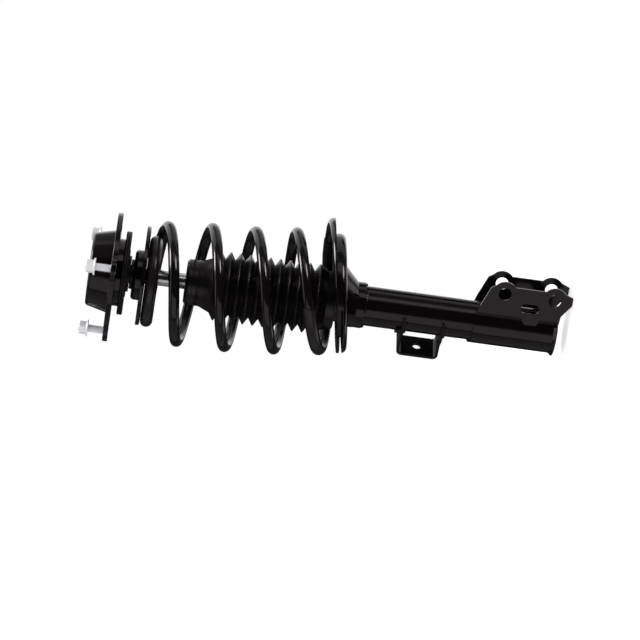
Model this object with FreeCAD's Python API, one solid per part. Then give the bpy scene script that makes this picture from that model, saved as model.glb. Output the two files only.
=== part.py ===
import FreeCAD, Part
import math
import os

# A MacPherson strut assembly, upright: +Z runs up the rod, the top mount is at the top.
# The origin is on the rod's axis, in the plane of the mount plate's upper face.
# +X points to the wheel knuckle, and the two knuckle bolts run along Y.

os.makedirs("parts", exist_ok=True)
V = FreeCAD.Vector

# Fits and clearances, and how far a cutter runs past what it cuts
RUN_FIT = 0.03
SKIN_GAP = 0.1
PART_GAP = 0.3
CUT = 1.0

# Mount plate and cup
SHEET_MOUNT = 2.0
PLATE_R = 75.4
PLATE_RIM = 6.5
PLATE_EDGE_R = 1.2
STUD_CIRCLE_R = 79.0
EAR_R = 14.0
EAR_ROOT_R = 40.0
EAR_BLEND_R = 4.0
STUD_FRONT_ANGLE = 71.5
STUD_REAR_ANGLE = 180.0
CUP_BASE_R = 52.8
CUP_TOP_R = 46.0
CUP_HEIGHT = 27.5
CUP_EDGE_FILLET = 4.0
CUP_MOUTH_R = 24.0
LOCATING_HOLE_R = 2.0
LOCATING_CIRCLE_R = 67.0
LOCATING_TURN = 5.0

# Studs and their nuts
STUD_R = 5.0
STUD_LENGTH = 31.5
STUD_TIP = 0.8
STUD_HEAD_R = 8.0
STUD_HEAD_T = 2.5
NUT_FLANGE_R = 10.9
NUT_FLANGE_T = 2.5
NUT_FLANGE_BEVEL = 1.2
NUT_ACROSS_FLATS = 15.0
NUT_HEIGHT = 10.9
NUT_SEAT_Z = 19.5

# Bearing housing, its core and rubber
HOUSING_R = 43.0
HOUSING_DEPTH = 13.7
HOUSING_MOUTH_CLEAR = 1.5
CORE_R = 30.0
CORE_TOP_Z = 2.0
CORE_WALL = 3.0
CORE_NOSE_R = 23.0
CORE_SHOULDER_Z = -21.8
CORE_LOW_Z = -24.5
CORE_MOUTH_CLEAR = 2.5
DUST_RING_R = 53.5
DUST_RING_T = 7.2
DUST_RING_EDGE = 1.2
RUBBER_HEADROOM = 5.5
RUBBER_STEP_Z = 0.5
RUBBER_SHOULDER_H = 4.0
RUBBER_SHOULDER_W = 5.0
RUBBER_WELL_R = 20.0

# Bearing
ROD_SPIGOT_R = 7.0
INNER_RACE_R = 13.0
OUTER_RACE_IN_R = 20.5
BALL_R = 4.6
BALL_COUNT = 9
BALL_CLEAR = 0.05
RACE_TOP_Z = -4.0
RACE_BOTTOM_Z = -19.0
CAGE_HEIGHT = 12.0
CAGE_CLEAR = 0.35

# Rod top: washer, nut, neck and seat washer
TOP_WASHER_R = 12.5
TOP_WASHER_T = 2.5
ROD_NUT_AF = 21.0
ROD_NUT_H = 12.0
ROD_NUT_CROWN = 1.8
ROD_TOP_Z = 15.0
ROD_SOCKET_AF = 6.0
ROD_SOCKET_DEPTH = 6.0
ROD_BEVEL = 1.0
NECK_R = 19.0
NECK_SLIM_R = 12.0
NECK_BEVEL = 0.8
SEAT_WASHER_R = 17.0
SEAT_WASHER_T = 3.0

# Upper spring seat
SEAT_SHEET = 3.0
SEAT_TOP_Z = -28.4
HUB_R = 32.0
HUB_ROUND = 4.0
SEAT_FLANGE_R = 63.4
SEAT_FLANGE_Z = -41.2
SEAT_LIP = 2.2

# Coil spring: wire, end coils and the bow of its axis towards the knuckle
WIRE_R = 7.0
SLEEVE_T = 1.0
SLEEVE_END_TURN = -0.1
END_SLEEVE_T = 1.1
END_SLEEVE_FROM = 3.25
END_SLEEVE_TO = 3.85
SPRING_START_TURN = -1.2
SPRING_END_TURN = 4.2
SPRING_EYE_R = 45.4
SPRING_SHOULDER_R = 69.3
SPRING_BODY_R = 74.6
SPRING_END_R = 86.0
SPRING_TIP_R = 71.0
SHOULDER_TURNS = 0.5
END_FLARE_FROM = 3.5
END_FLARE_TO = 4.0
TOP_RAMP_FROM = -0.48
TOP_RAMP_TO = 0.0
END_RAMP_FROM = 3.45
END_RAMP_TO = 3.8
FIRST_SAG = 1.7
FIRST_SAG_TURN = 0.24
FIRST_SAG_REACH = 0.41
LAST_RISE = 6.0
LAST_RISE_TURN = 3.26
LAST_RISE_REACH = 0.61
TIP_DROP = 10.0
TIP_DROP_FROM = 3.8
BOW_LEAD = 20.0
BOW_START = 95.4
BOW_END = 254.7
BOW_OFFSET = -3.2
BOW_END_SLOPE = 0.163
PIPE_STEPS_PER_TURN = 4
GAP_SAMPLES = 900
GAP_SKIP_TURNS = 0.6

# Lower spring seat and its pad
PAN_TILT = 8.2
PAN_CENTRE_X = 12.3
PAN_Z = -297.6
PAN_R = 76.5
PAN_SHEET = 3.2
PAN_SKIRT = 9.4
PAN_LOW_LIP = 2.8
PAN_EDGE_FILLET = 7.5
CONE_SPREAD = 7.1
CONE_ASIDE = 6.0
CONE_TOP_Z = -302.0
CONE_FOOT_Z = -315.0
CONE_REACH = 12.0
COLLAR_END_Z = -325.0
COLLAR_WALL = 3.7
COLLAR_SLOT_LENGTH = 7.0
COLLAR_SLOT_W = 3.0
COLLAR_SLOT_RISE = 9.0
COLLAR_SLOT_ANGLE = -52.0
PAD_IN_R = 48.0
PAD_LIFT = 0.4
PAD_REAR_X = -40.0
PAD_REAR_RISE = 0.2
PAD_FLANGE_T = 3.6
PAD_WALL = 4.0

# Strut tube and its top
TUBE_R = 25.5
TUBE_WALL = 2.2
TUBE_TOP_Z = -264.0
TUBE_END_Z = -560.0
CAP_T = 4.0
CAP_WALL = 2.0
CAP_SKIRT = 9.0
CAP_BEVEL = 1.5
CAP_HOLE_CLEAR = 2.5
PLUG_T = 8.0
PLUG_RECESS = 1.0
PLUG_LIP = 3.0
PLUG_DISH = 2.5

# Rod and the damper's insides
ROD_R = 10.0
SEAL_T = 8.0
SEAL_MOUTH = 4.0
SEAL_MOUTH_H = 3.0
GUIDE_T = 16.0
GUIDE_SPIGOT_H = 7.0
BUSH_WALL = 1.6
RESERVE_GAP = 4.0
PRESSURE_WALL = 1.5
REBOUND_CLEAR = 2.0
REBOUND_T = 8.0
REBOUND_GAP = 1.0
REBOUND_TO_PISTON = 25.0
PISTON_CLEAR = 0.4
PISTON_T = 22.0
PISTON_BAND_T = 1.4
PISTON_BAND_H = 10.0
PISTON_SPIGOT_R = 6.0
PISTON_NUT_AF = 17.0
PISTON_NUT_H = 8.0
ROD_TAIL = 4.0
PORT_COUNT = 8
PORT_R = 1.5
VALVE_T = 14.0
VALVE_FLANGE_T = 3.0
VALVE_FLANGE_W = 3.0
VALVE_PORT_INSET = 6.0

# Bump stop and boot
STOP_R = 21.0
STOP_WAIST_R = 17.5
STOP_LENGTH = 46.5
STOP_LOBES = 3
STOP_TAPER = 1.5
STOP_EDGE = 3.0
BOOT_TOP_Z = -95.5
BOOT_CUP_R = 29.3
BOOT_CUP_LENGTH = 19.8
BOOT_CUP_BEVEL = 3.0
BOOT_WALL = 2.0
BOOT_FIRST_PEAK_Z = -136.1
BOOT_PITCH = 12.78
BOOT_PLEATS = 11
BOOT_PLEAT_DEPTH = 9.5
BOOT_CREST = 1.2
BOOT_END_Z = -288.0
BOOT_RING_WALL = 7.5
BOOT_RING_T = 9.0
BOOT_RING_FOOT = 2.0
BOOT_VALLEY_CLEAR = 2.5
BOOT_CUFF_WALL = 4.2
BOOT_CUFF_RUN = 11.5

# Link bracket on the tube
LINK_ANGLE = 159.0
LINK_Z = -403.0
LINK_SPAN = 54.0
LINK_SHEET = 3.5
LINK_WEB_R = 57.0
LINK_WIDTH = 38.0
LINK_CORNER_R = 7.0
LINK_HOLE_R = 5.5
LINK_HUG_BACK = 8.0
LINK_HUG_WALL = 4.0
LINK_FLARE_FROM = 34.0
LINK_FLARE_TO = 18.0
LINK_FOOT = 6.5
LINK_FOOT_X = 10.8

# Knuckle bracket
WRAP_SHEET = 3.0
WRAP_TOP_Z = -466.0
WRAP_END_Z = -573.5
RIM_FLARE = 3.6
RIM_H = 5.0
RIM_LIP = 1.0
RIM_FRONT_X = 12.0
SHOULDER_INSET = 8.9
SHOULDER_RUN = 4.6
KNUCKLE_GAP = 47.0
BOLT_X = 47.1
BOLT_UPPER_Z = -499.4
BOLT_SPACING = 64.5
BOLT_HOLE_R = 8.2
BOLT_LOBE_R = 16.2
EDGE_X = 57.5
HORN_X = 53.5
HORN_UP_Z = -480.8
HORN_LOW_Z = -586.5
HORN_FLAT = 10.0
NOTCH_X = 27.5
NOTCH_UP_Z = -470.2
NOTCH_LOW_Z = -574.6
SLOT_X = 32.0
SLOT_Z = -534.0
SLOT_LENGTH = 23.5
SLOT_W = 12.0
TAB_W = 23.0
TAB_Z = -537.0
TAB_REACH_X = 8.6
TAB_ROOT = 4.0
PIN_HOLE_X = 28.8
PIN_HOLE_Z = -486.0
PIN_HOLE_R = 1.6

# Weld beads: section, how far it bites into its neighbours, and where each runs
BEAD_R = 1.7
BEAD_BITE = 0.2
LINK_BEAD_MID = 62.0
LINK_BEAD_SPAN = 62.0
SEAT_BEAD_COUNT = 3
SEAT_BEAD_START = -95.0
SEAT_BEAD_SPAN = 65.0
KNUCKLE_BEAD_START = 60.0
KNUCKLE_BEAD_SPAN = 130.0

# Places and sizes that follow from the ones above
CUP_SLOPE = (CUP_BASE_R - CUP_TOP_R) / CUP_HEIGHT
HOUSING_MOUTH_R = CORE_R + HOUSING_MOUTH_CLEAR
CORE_MOUTH_R = NECK_SLIM_R + CORE_MOUTH_CLEAR
RUBBER_TOP_Z = CUP_HEIGHT - SHEET_MOUNT - RUBBER_HEADROOM
BALL_CIRCLE_R = (INNER_RACE_R + OUTER_RACE_IN_R) / 2.0
RACE_MID_Z = (RACE_TOP_Z + RACE_BOTTOM_Z) / 2.0
ROD_NUT_Z = RACE_TOP_Z + TOP_WASHER_T
NECK_TOP_Z = CORE_LOW_Z - PART_GAP
SEAT_WASHER_TOP_Z = SEAT_TOP_Z - SEAT_SHEET
ROD_SHOULDER_Z = SEAT_WASHER_TOP_Z - SEAT_WASHER_T
SPRING_TOP_Z = SEAT_FLANGE_Z - SEAT_SHEET - PART_GAP - SLEEVE_T - WIRE_R
CAP_LOW_Z = TUBE_TOP_Z - CAP_T
SEAL_LOW_Z = CAP_LOW_Z - SEAL_T
GUIDE_LOW_Z = SEAL_LOW_Z - GUIDE_T
TUBE_IN_R = TUBE_R - TUBE_WALL
TUBE_FLOOR_Z = TUBE_END_Z + PLUG_T
PRESSURE_R = TUBE_IN_R - RESERVE_GAP
PRESSURE_IN_R = PRESSURE_R - PRESSURE_WALL
REBOUND_TOP_Z = GUIDE_LOW_Z - REBOUND_GAP
PISTON_TOP_Z = REBOUND_TOP_Z - REBOUND_T - REBOUND_TO_PISTON
PISTON_LOW_Z = PISTON_TOP_Z - PISTON_T
PISTON_MID_Z = (PISTON_TOP_Z + PISTON_LOW_Z) / 2.0
STOP_TOP_Z = BOOT_TOP_Z - BOOT_WALL - PART_GAP
BOOT_RING_R = TUBE_R + BOOT_RING_WALL
BOOT_CUFF_R = BOOT_RING_R + PART_GAP + BOOT_CUFF_WALL
BOOT_VALLEY_R = BOOT_RING_R + BOOT_VALLEY_CLEAR
BOOT_PEAK_R = BOOT_VALLEY_R + BOOT_PLEAT_DEPTH
COLLAR_IN_R = TUBE_R + PART_GAP
COLLAR_R = COLLAR_IN_R + COLLAR_WALL
PAN_LEAN = math.radians(PAN_TILT)
PAN_CENTRE = V(PAN_CENTRE_X, 0, PAN_Z)
PAD_TOP = PAN_SKIRT + PAD_LIFT
SPRING_END_PLANE = PAD_TOP + PART_GAP + WIRE_R
PAN_RISE = math.tan(PAN_LEAN)
BOW_AT_TOP = BOW_OFFSET - BOW_END_SLOPE * (BOW_START + BOW_END) / 2.0
SPRING_FLAT_DEPTH = PAN_RISE * (PAN_CENTRE_X - BOW_AT_TOP) - PAN_Z - SPRING_END_PLANE / math.cos(PAN_LEAN)
SPRING_END_DEPTH = SPRING_FLAT_DEPTH / (1.0 + BOW_END_SLOPE * PAN_RISE)
PAD_EDGE = PAN_EDGE_FILLET - PAN_SHEET + PART_GAP
LINK_LOW_Z = LINK_Z - LINK_SPAN / 2.0
LINK_HIGH_Z = LINK_Z + LINK_SPAN / 2.0
LINK_HUG_HALF = TUBE_R + LINK_HUG_WALL
FLANGE_IN_Y = KNUCKLE_GAP / 2.0
FLANGE_OUT_Y = FLANGE_IN_Y + WRAP_SHEET
BOLT_LOWER_Z = BOLT_UPPER_Z - BOLT_SPACING
WRAP_IN_R = TUBE_R + SKIN_GAP
WRAP_OUT_R = WRAP_IN_R + WRAP_SHEET
SHOULDER_X = WRAP_OUT_R - SHOULDER_INSET
BEAD_CENTRE_R = TUBE_R + BEAD_R - BEAD_BITE
BEAD_STAND = BEAD_R - BEAD_BITE


def save(name, shape):
    """Write one sub-part, as a solid or a group of solids."""
    if not shape.isValid():
        print("invalid:", name)
    shape.exportStep("parts/" + name + ".step")
    print(name, len(shape.Solids), round(shape.Volume / 1000.0, 2), "cm3")


def disc(radius, z_low, z_high, x=0.0, y=0.0):
    """An upright cylinder between two heights."""
    return Part.makeCylinder(radius, z_high - z_low, V(x, y, z_low))


def ring(outer, inner, z_low, z_high):
    """An upright tube between two heights."""
    return disc(outer, z_low, z_high).cut(disc(inner, z_low - CUT, z_high + CUT))


def turned(points):
    """A solid of revolution about Z from a closed outline of (radius, height) points."""
    corners = [V(r, 0, z) for r, z in points]
    outline = Part.makePolygon(corners + [corners[0]])
    return Part.Face(outline).revolve(V(0, 0, 0), V(0, 0, 1), 360)


def hexagon(across_flats, z_low, z_high, x=0.0, y=0.0):
    """An upright hexagonal prism."""
    corner = across_flats / math.sqrt(3.0)
    points = []
    for k in range(7):
        a = math.radians(60.0 * k)
        points.append(V(x + corner * math.cos(a), y + corner * math.sin(a), z_low))
    return Part.Face(Part.makePolygon(points)).extrude(V(0, 0, z_high - z_low))


def polar(radius, degrees):
    """The x and y of a point on a circle round the rod's axis."""
    a = math.radians(degrees)
    return radius * math.cos(a), radius * math.sin(a)


def flat_edges(shape, z, longer_than):
    """The edges that lie wholly at one height and are longer than a given length."""
    return [
        e for e in shape.Edges
        if abs(e.BoundBox.ZMin - z) < 0.01 and abs(e.BoundBox.ZMax - z) < 0.01 and e.Length > longer_than]


def stud_places():
    """The three stud centres."""
    angles = [STUD_FRONT_ANGLE, -STUD_FRONT_ANGLE, STUD_REAR_ANGLE]
    return [polar(STUD_CIRCLE_R, a) for a in angles]


def plate_outline(z_low, z_high, shrink):
    """The mount plate without its holes: a round plate with three ears that carry the studs."""
    round_r = PLATE_R - shrink
    half = EAR_R - shrink
    thick = z_high - z_low
    blank = disc(round_r, z_low, z_high)
    for x, y in stud_places():
        ear = disc(half, z_low, z_high, x, y)
        root = Part.makeBox(STUD_CIRCLE_R - EAR_ROOT_R, 2 * half, thick, V(EAR_ROOT_R, -half, z_low))
        root.rotate(V(0, 0, 0), V(0, 0, 1), math.degrees(math.atan2(y, x)))
        blank = blank.fuse([ear, root])
    blank = blank.removeSplitter()
    corners = []
    for e in blank.Edges:
        p = e.CenterOfMass
        near = min(math.hypot(p.x - x, p.y - y) for x, y in stud_places())
        upright = abs(e.Length - thick) < 0.01 and e.BoundBox.ZLength > thick - 0.01
        if upright and near < EAR_R * 1.5 and abs(math.hypot(p.x, p.y) - round_r) < 0.05:
            corners.append(e)
    if corners:
        blank = blank.makeFillet(EAR_BLEND_R, corners)
    return blank


def plate_holes():
    """Cutters for the stud holes and the small locating holes."""
    low = -PLATE_RIM - CUT
    cutters = []
    for x, y in stud_places():
        cutters.append(disc(STUD_R, low, CUT, x, y))
        hx, hy = polar(LOCATING_CIRCLE_R, math.degrees(math.atan2(y, x)) + LOCATING_TURN)
        cutters.append(disc(LOCATING_HOLE_R, low, CUT, hx, hy))
    return cutters


def cup_outline(offset):
    """The cup's outer line, moved inwards by an offset: (radius, height) at base and top."""
    base_r = CUP_BASE_R - offset * math.sqrt(1.0 + CUP_SLOPE * CUP_SLOPE)
    top = CUP_HEIGHT - offset
    return (base_r, 0.0), (base_r - CUP_SLOPE * top, top)


def mount_top_shell():
    """Upper pressing: plate with ears and a rim turned down, and a domed cup with a round mouth."""
    plate = plate_outline(-PLATE_RIM, 0.0, 0.0)
    plate = plate.makeFillet(PLATE_EDGE_R, flat_edges(plate, 0.0, 1.0))
    plate = plate.cut(plate_outline(-PLATE_RIM - CUT, -SHEET_MOUNT, SHEET_MOUNT))
    (r0, z0), (r1, z1) = cup_outline(0.0)
    dome = turned([(0, -SHEET_MOUNT), (r0, -SHEET_MOUNT), (r0, z0), (r1, z1), (0, z1)])
    dome = dome.makeFillet(CUP_EDGE_FILLET, flat_edges(dome, z1, CUP_TOP_R))
    (i0, _), (i1, j1) = cup_outline(SHEET_MOUNT)
    hollow = turned([(0, -SHEET_MOUNT - CUT), (i0, -SHEET_MOUNT - CUT), (i0, 0), (i1, j1), (0, j1)])
    hollow = hollow.makeFillet(CUP_EDGE_FILLET - SHEET_MOUNT, flat_edges(hollow, j1, CUP_TOP_R))
    mouth = disc(CUP_MOUTH_R, 0, CUP_HEIGHT + CUT)
    return plate.fuse(dome).cut(hollow).cut([mouth] + plate_holes()).removeSplitter()


def mount_bottom_shell():
    """Lower pressing: a plate that nests in the rim, with a housing sunk under it."""
    top = -SHEET_MOUNT
    plate = plate_outline(-2 * SHEET_MOUNT, top, SHEET_MOUNT + SKIN_GAP)
    outer = disc(HOUSING_R, -HOUSING_DEPTH, top)
    inner = disc(HOUSING_R - SHEET_MOUNT, -HOUSING_DEPTH + SHEET_MOUNT, top + CUT)
    mouth = disc(HOUSING_MOUTH_R, -HOUSING_DEPTH - CUT, 0)
    return plate.fuse(outer).cut([inner, mouth] + plate_holes()).removeSplitter()


def mount_studs():
    """Three studs pressed up through both pressings, each with a flat head below."""
    low = -2 * SHEET_MOUNT
    studs = []
    for x, y in stud_places():
        stud = disc(STUD_R, low, STUD_LENGTH, x, y)
        stud = stud.makeChamfer(STUD_TIP, flat_edges(stud, STUD_LENGTH, STUD_R))
        head = disc(STUD_HEAD_R, low - STUD_HEAD_T, low, x, y)
        studs.append(stud.fuse(head).removeSplitter())
    return Part.makeCompound(studs)


def stud_nuts():
    """Three flanged nuts, run part of the way down the studs as they come packed."""
    flange_top = NUT_SEAT_Z + NUT_FLANGE_T
    nut_top = NUT_SEAT_Z + NUT_HEIGHT
    nuts = []
    for x, y in stud_places():
        flange = disc(NUT_FLANGE_R, NUT_SEAT_Z, flange_top, x, y)
        flange = flange.makeChamfer(NUT_FLANGE_BEVEL, flat_edges(flange, flange_top, NUT_FLANGE_R))
        body = hexagon(NUT_ACROSS_FLATS, NUT_SEAT_Z, nut_top, x, y)
        bore = disc(STUD_R + RUN_FIT, NUT_SEAT_Z - CUT, nut_top + CUT, x, y)
        nuts.append(flange.fuse(body).cut(bore).removeSplitter())
    return Part.makeCompound(nuts)


def mount_rubber():
    """Rubber that fills the cup and the housing round the bearing core."""
    (base_r, _), _ = cup_outline(SHEET_MOUNT + PART_GAP)
    low_r = HOUSING_R - SHEET_MOUNT - PART_GAP
    floor = -HOUSING_DEPTH + SHEET_MOUNT + PART_GAP
    shoulder = RUBBER_TOP_Z - RUBBER_SHOULDER_H
    top_r = base_r - CUP_SLOPE * RUBBER_TOP_Z
    bore = CORE_R + SKIN_GAP
    ceiling = CORE_TOP_Z + PART_GAP
    return turned([
        (bore, floor), (low_r, floor), (low_r, RUBBER_STEP_Z), (base_r - CUP_SLOPE * RUBBER_STEP_Z, RUBBER_STEP_Z),
        (top_r, shoulder), (top_r - RUBBER_SHOULDER_W, RUBBER_TOP_Z), (RUBBER_WELL_R, RUBBER_TOP_Z),
        (RUBBER_WELL_R, ceiling), (bore, ceiling)])


def dust_ring():
    """Rubber ring under the housing floor."""
    high = -HOUSING_DEPTH - SKIN_GAP
    low = high - DUST_RING_T
    bore = CORE_R + PART_GAP
    flat_r = DUST_RING_R - DUST_RING_EDGE
    return turned([
        (bore, high), (flat_r, high), (DUST_RING_R, high - DUST_RING_EDGE),
        (DUST_RING_R, low + DUST_RING_EDGE), (flat_r, low), (bore, low)])


def bearing_core():
    """Steel cup inside the rubber that holds the bearing, with a nose below."""
    bore = CORE_R - CORE_WALL
    return turned([
        (CORE_R, CORE_TOP_Z), (bore, CORE_TOP_Z), (bore, RACE_BOTTOM_Z), (CORE_MOUTH_R, RACE_BOTTOM_Z),
        (CORE_MOUTH_R, CORE_LOW_Z), (CORE_NOSE_R, CORE_LOW_Z), (CORE_NOSE_R, CORE_SHOULDER_Z),
        (CORE_R, CORE_SHOULDER_Z)])


def ball_groove():
    """The ring-shaped space that the balls roll in."""
    return Part.makeTorus(BALL_CIRCLE_R, BALL_R + BALL_CLEAR, V(0, 0, RACE_MID_Z))


def bearing_outer_race():
    """Outer race, pressed into the core."""
    return ring(CORE_R - CORE_WALL, OUTER_RACE_IN_R, RACE_BOTTOM_Z, RACE_TOP_Z).cut(ball_groove())


def bearing_inner_race():
    """Inner race, clamped on the rod's spigot."""
    bore = ROD_SPIGOT_R + RUN_FIT
    return ring(INNER_RACE_R, bore, RACE_BOTTOM_Z, RACE_TOP_Z).cut(ball_groove())


def ball_places():
    """The centres of the bearing balls."""
    return [polar(BALL_CIRCLE_R, 360.0 * k / BALL_COUNT) for k in range(BALL_COUNT)]


def bearing_balls():
    """The balls, evenly spaced between the races."""
    return Part.makeCompound([Part.makeSphere(BALL_R, V(x, y, RACE_MID_Z)) for x, y in ball_places()])


def bearing_cage():
    """Cage ring with one pocket for each ball."""
    outer = OUTER_RACE_IN_R - CAGE_CLEAR
    inner = INNER_RACE_R + CAGE_CLEAR
    cage = ring(outer, inner, RACE_MID_Z - CAGE_HEIGHT / 2, RACE_MID_Z + CAGE_HEIGHT / 2)
    return cage.cut([Part.makeSphere(BALL_R + BALL_CLEAR, V(x, y, RACE_MID_Z)) for x, y in ball_places()])


def rod_washer():
    """Washer between the bearing's inner race and the rod nut."""
    return ring(TOP_WASHER_R, ROD_SPIGOT_R + RUN_FIT, RACE_TOP_Z, ROD_NUT_Z)


def rod_nut():
    """Hexagonal nut on the rod's top, with a crowned upper edge."""
    top = ROD_NUT_Z + ROD_NUT_H
    corner = ROD_NUT_AF / math.sqrt(3.0)
    crown_z = top - ROD_NUT_CROWN
    crown_r = corner - ROD_NUT_CROWN / math.tan(math.radians(30.0))
    crown = turned([(0, ROD_NUT_Z), (corner, ROD_NUT_Z), (corner, crown_z), (crown_r, top), (0, top)])
    bore = disc(ROD_SPIGOT_R + RUN_FIT, ROD_NUT_Z - CUT, top + CUT)
    return hexagon(ROD_NUT_AF, ROD_NUT_Z, top).common(crown).cut(bore).removeSplitter()


def neck_spacer():
    """Collar between the inner race and the spring seat, slim where it passes the core."""
    bore = ROD_SPIGOT_R + RUN_FIT
    return turned([
        (bore, RACE_BOTTOM_Z), (NECK_SLIM_R, RACE_BOTTOM_Z), (NECK_SLIM_R, NECK_TOP_Z),
        (NECK_R - NECK_BEVEL, NECK_TOP_Z), (NECK_R, NECK_TOP_Z - NECK_BEVEL), (NECK_R, SEAT_TOP_Z),
        (bore, SEAT_TOP_Z)])


def upper_spring_seat():
    """Pressed seat: a domed hub and a flat flange with a lip turned up."""
    bore = ROD_SPIGOT_R + RUN_FIT
    low = SEAT_FLANGE_Z - SEAT_SHEET
    lip_in = SEAT_FLANGE_R - SEAT_SHEET
    lip_top = SEAT_FLANGE_Z + SEAT_LIP
    half = SEAT_SHEET / 2
    bend = HUB_ROUND * (1.0 - math.sqrt(0.5))
    hub_in = HUB_R - SEAT_SHEET
    return turned([
        (bore, SEAT_TOP_Z), (HUB_R - HUB_ROUND, SEAT_TOP_Z), (HUB_R - bend, SEAT_TOP_Z - bend),
        (HUB_R, SEAT_TOP_Z - HUB_ROUND), (HUB_R, SEAT_FLANGE_Z), (lip_in, SEAT_FLANGE_Z), (lip_in, lip_top),
        (SEAT_FLANGE_R, lip_top), (SEAT_FLANGE_R, low + half), (SEAT_FLANGE_R - half, low), (hub_in, low),
        (hub_in, SEAT_TOP_Z - HUB_ROUND), (HUB_R - HUB_ROUND, SEAT_WASHER_TOP_Z), (bore, SEAT_WASHER_TOP_Z)])


def seat_washer():
    """Thick washer between the spring seat and the rod's shoulder."""
    return ring(SEAT_WASHER_R, ROD_SPIGOT_R + RUN_FIT, ROD_SHOULDER_Z, SEAT_WASHER_TOP_Z)


def piston_rod():
    """Chromed rod with a spigot at each end and a hexagonal socket in its top."""
    end = PISTON_LOW_Z - PISTON_NUT_H - ROD_TAIL
    rod = turned([
        (0, ROD_TOP_Z), (ROD_SPIGOT_R - ROD_BEVEL, ROD_TOP_Z), (ROD_SPIGOT_R, ROD_TOP_Z - ROD_BEVEL),
        (ROD_SPIGOT_R, ROD_SHOULDER_Z), (ROD_R - ROD_BEVEL, ROD_SHOULDER_Z), (ROD_R, ROD_SHOULDER_Z - ROD_BEVEL),
        (ROD_R, PISTON_TOP_Z), (PISTON_SPIGOT_R, PISTON_TOP_Z), (PISTON_SPIGOT_R, end), (0, end)])
    return rod.cut(hexagon(ROD_SOCKET_AF, ROD_TOP_Z - ROD_SOCKET_DEPTH, ROD_TOP_Z + CUT))


def rebound_stop():
    """Ring fixed on the rod, just under the guide at full rebound."""
    return ring(PRESSURE_IN_R - REBOUND_CLEAR, ROD_R, REBOUND_TOP_Z - REBOUND_T, REBOUND_TOP_Z)


def port_cutters(circle_r, z_low, z_high):
    """Cutters for the oil ports, evenly spaced on a circle."""
    places = [polar(circle_r, 360.0 * k / PORT_COUNT) for k in range(PORT_COUNT)]
    return [disc(PORT_R, z_low - CUT, z_high + CUT, x, y) for x, y in places]


def piston():
    """Piston with axial ports and a groove for its band."""
    body = ring(PRESSURE_IN_R - PISTON_CLEAR, PISTON_SPIGOT_R, PISTON_LOW_Z, PISTON_TOP_Z)
    band_in = PRESSURE_IN_R - PISTON_BAND_T
    groove = ring(PRESSURE_R, band_in, PISTON_MID_Z - PISTON_BAND_H / 2, PISTON_MID_Z + PISTON_BAND_H / 2)
    return body.cut([groove] + port_cutters((PISTON_SPIGOT_R + band_in) / 2, PISTON_LOW_Z, PISTON_TOP_Z))


def piston_ring():
    """Low-friction band round the piston, running in the pressure tube."""
    low = PISTON_MID_Z - PISTON_BAND_H / 2
    return ring(PRESSURE_IN_R - RUN_FIT, PRESSURE_IN_R - PISTON_BAND_T, low, low + PISTON_BAND_H)


def piston_nut():
    """Nut that holds the piston on the rod."""
    low = PISTON_LOW_Z - PISTON_NUT_H
    return hexagon(PISTON_NUT_AF, low, PISTON_LOW_Z).cut(disc(PISTON_SPIGOT_R, low - CUT, PISTON_LOW_Z + CUT))


def bump_stop():
    """Foam bump stop on the rod: tapering lobes with a waist between each two."""
    bore = ROD_R + PART_GAP
    lobe = STOP_LENGTH / STOP_LOBES
    outline = [(bore, STOP_TOP_Z)]
    for k in range(STOP_LOBES):
        high = STOP_TOP_Z - lobe * k
        r = STOP_R - STOP_TAPER * k
        outline.append((STOP_WAIST_R if k else r - STOP_EDGE, high))
        outline.append((r, high - STOP_EDGE))
        outline.append((r, high - lobe + STOP_EDGE))
    low = STOP_TOP_Z - STOP_LENGTH
    outline.append((r - STOP_EDGE, low))
    outline.append((bore, low))
    return turned(outline)


def tube_cap():
    """Cap pressed on the tube's top edge, with a hole for the rod."""
    outer = TUBE_R + CAP_WALL
    bore = ROD_R + CAP_HOLE_CLEAR
    skirt = TUBE_TOP_Z - CAP_SKIRT
    return turned([
        (bore, TUBE_TOP_Z), (outer - CAP_BEVEL, TUBE_TOP_Z), (outer, TUBE_TOP_Z - CAP_BEVEL),
        (outer, skirt), (TUBE_R, skirt), (TUBE_R, CAP_LOW_Z), (bore, CAP_LOW_Z)])


def rod_seal():
    """Lip seal above the guide, opened out below."""
    lip = ROD_R + RUN_FIT
    return turned([
        (lip, CAP_LOW_Z), (TUBE_IN_R, CAP_LOW_Z), (TUBE_IN_R, SEAL_LOW_Z), (ROD_R + SEAL_MOUTH, SEAL_LOW_Z),
        (lip, SEAL_LOW_Z + SEAL_MOUTH_H)])


def rod_guide():
    """Sintered guide that centres the rod, the pressure tube and the outer tube."""
    hole = ROD_R + RUN_FIT + BUSH_WALL
    step = GUIDE_LOW_Z + GUIDE_SPIGOT_H
    return turned([
        (hole, SEAL_LOW_Z), (TUBE_IN_R, SEAL_LOW_Z), (TUBE_IN_R, step), (PRESSURE_IN_R, step),
        (PRESSURE_IN_R, GUIDE_LOW_Z), (hole, GUIDE_LOW_Z)])


def guide_bush():
    """Bearing bush in the rod guide."""
    return ring(ROD_R + RUN_FIT + BUSH_WALL, ROD_R + RUN_FIT, GUIDE_LOW_Z, SEAL_LOW_Z)


def pressure_tube():
    """Inner cylinder that the piston runs in."""
    low = TUBE_FLOOR_Z + VALVE_FLANGE_T
    return ring(PRESSURE_R, PRESSURE_IN_R, low, GUIDE_LOW_Z + GUIDE_SPIGOT_H)


def base_valve():
    """Valve body in the pressure tube's foot."""
    foot = TUBE_FLOOR_Z
    step = foot + VALVE_FLANGE_T
    top = foot + VALVE_T
    flange_r = PRESSURE_R + VALVE_FLANGE_W
    body = turned([
        (0, foot), (flange_r, foot), (flange_r, step), (PRESSURE_IN_R, step), (PRESSURE_IN_R, top), (0, top)])
    return body.cut(port_cutters(PRESSURE_IN_R - VALVE_PORT_INSET, foot, top))


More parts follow.
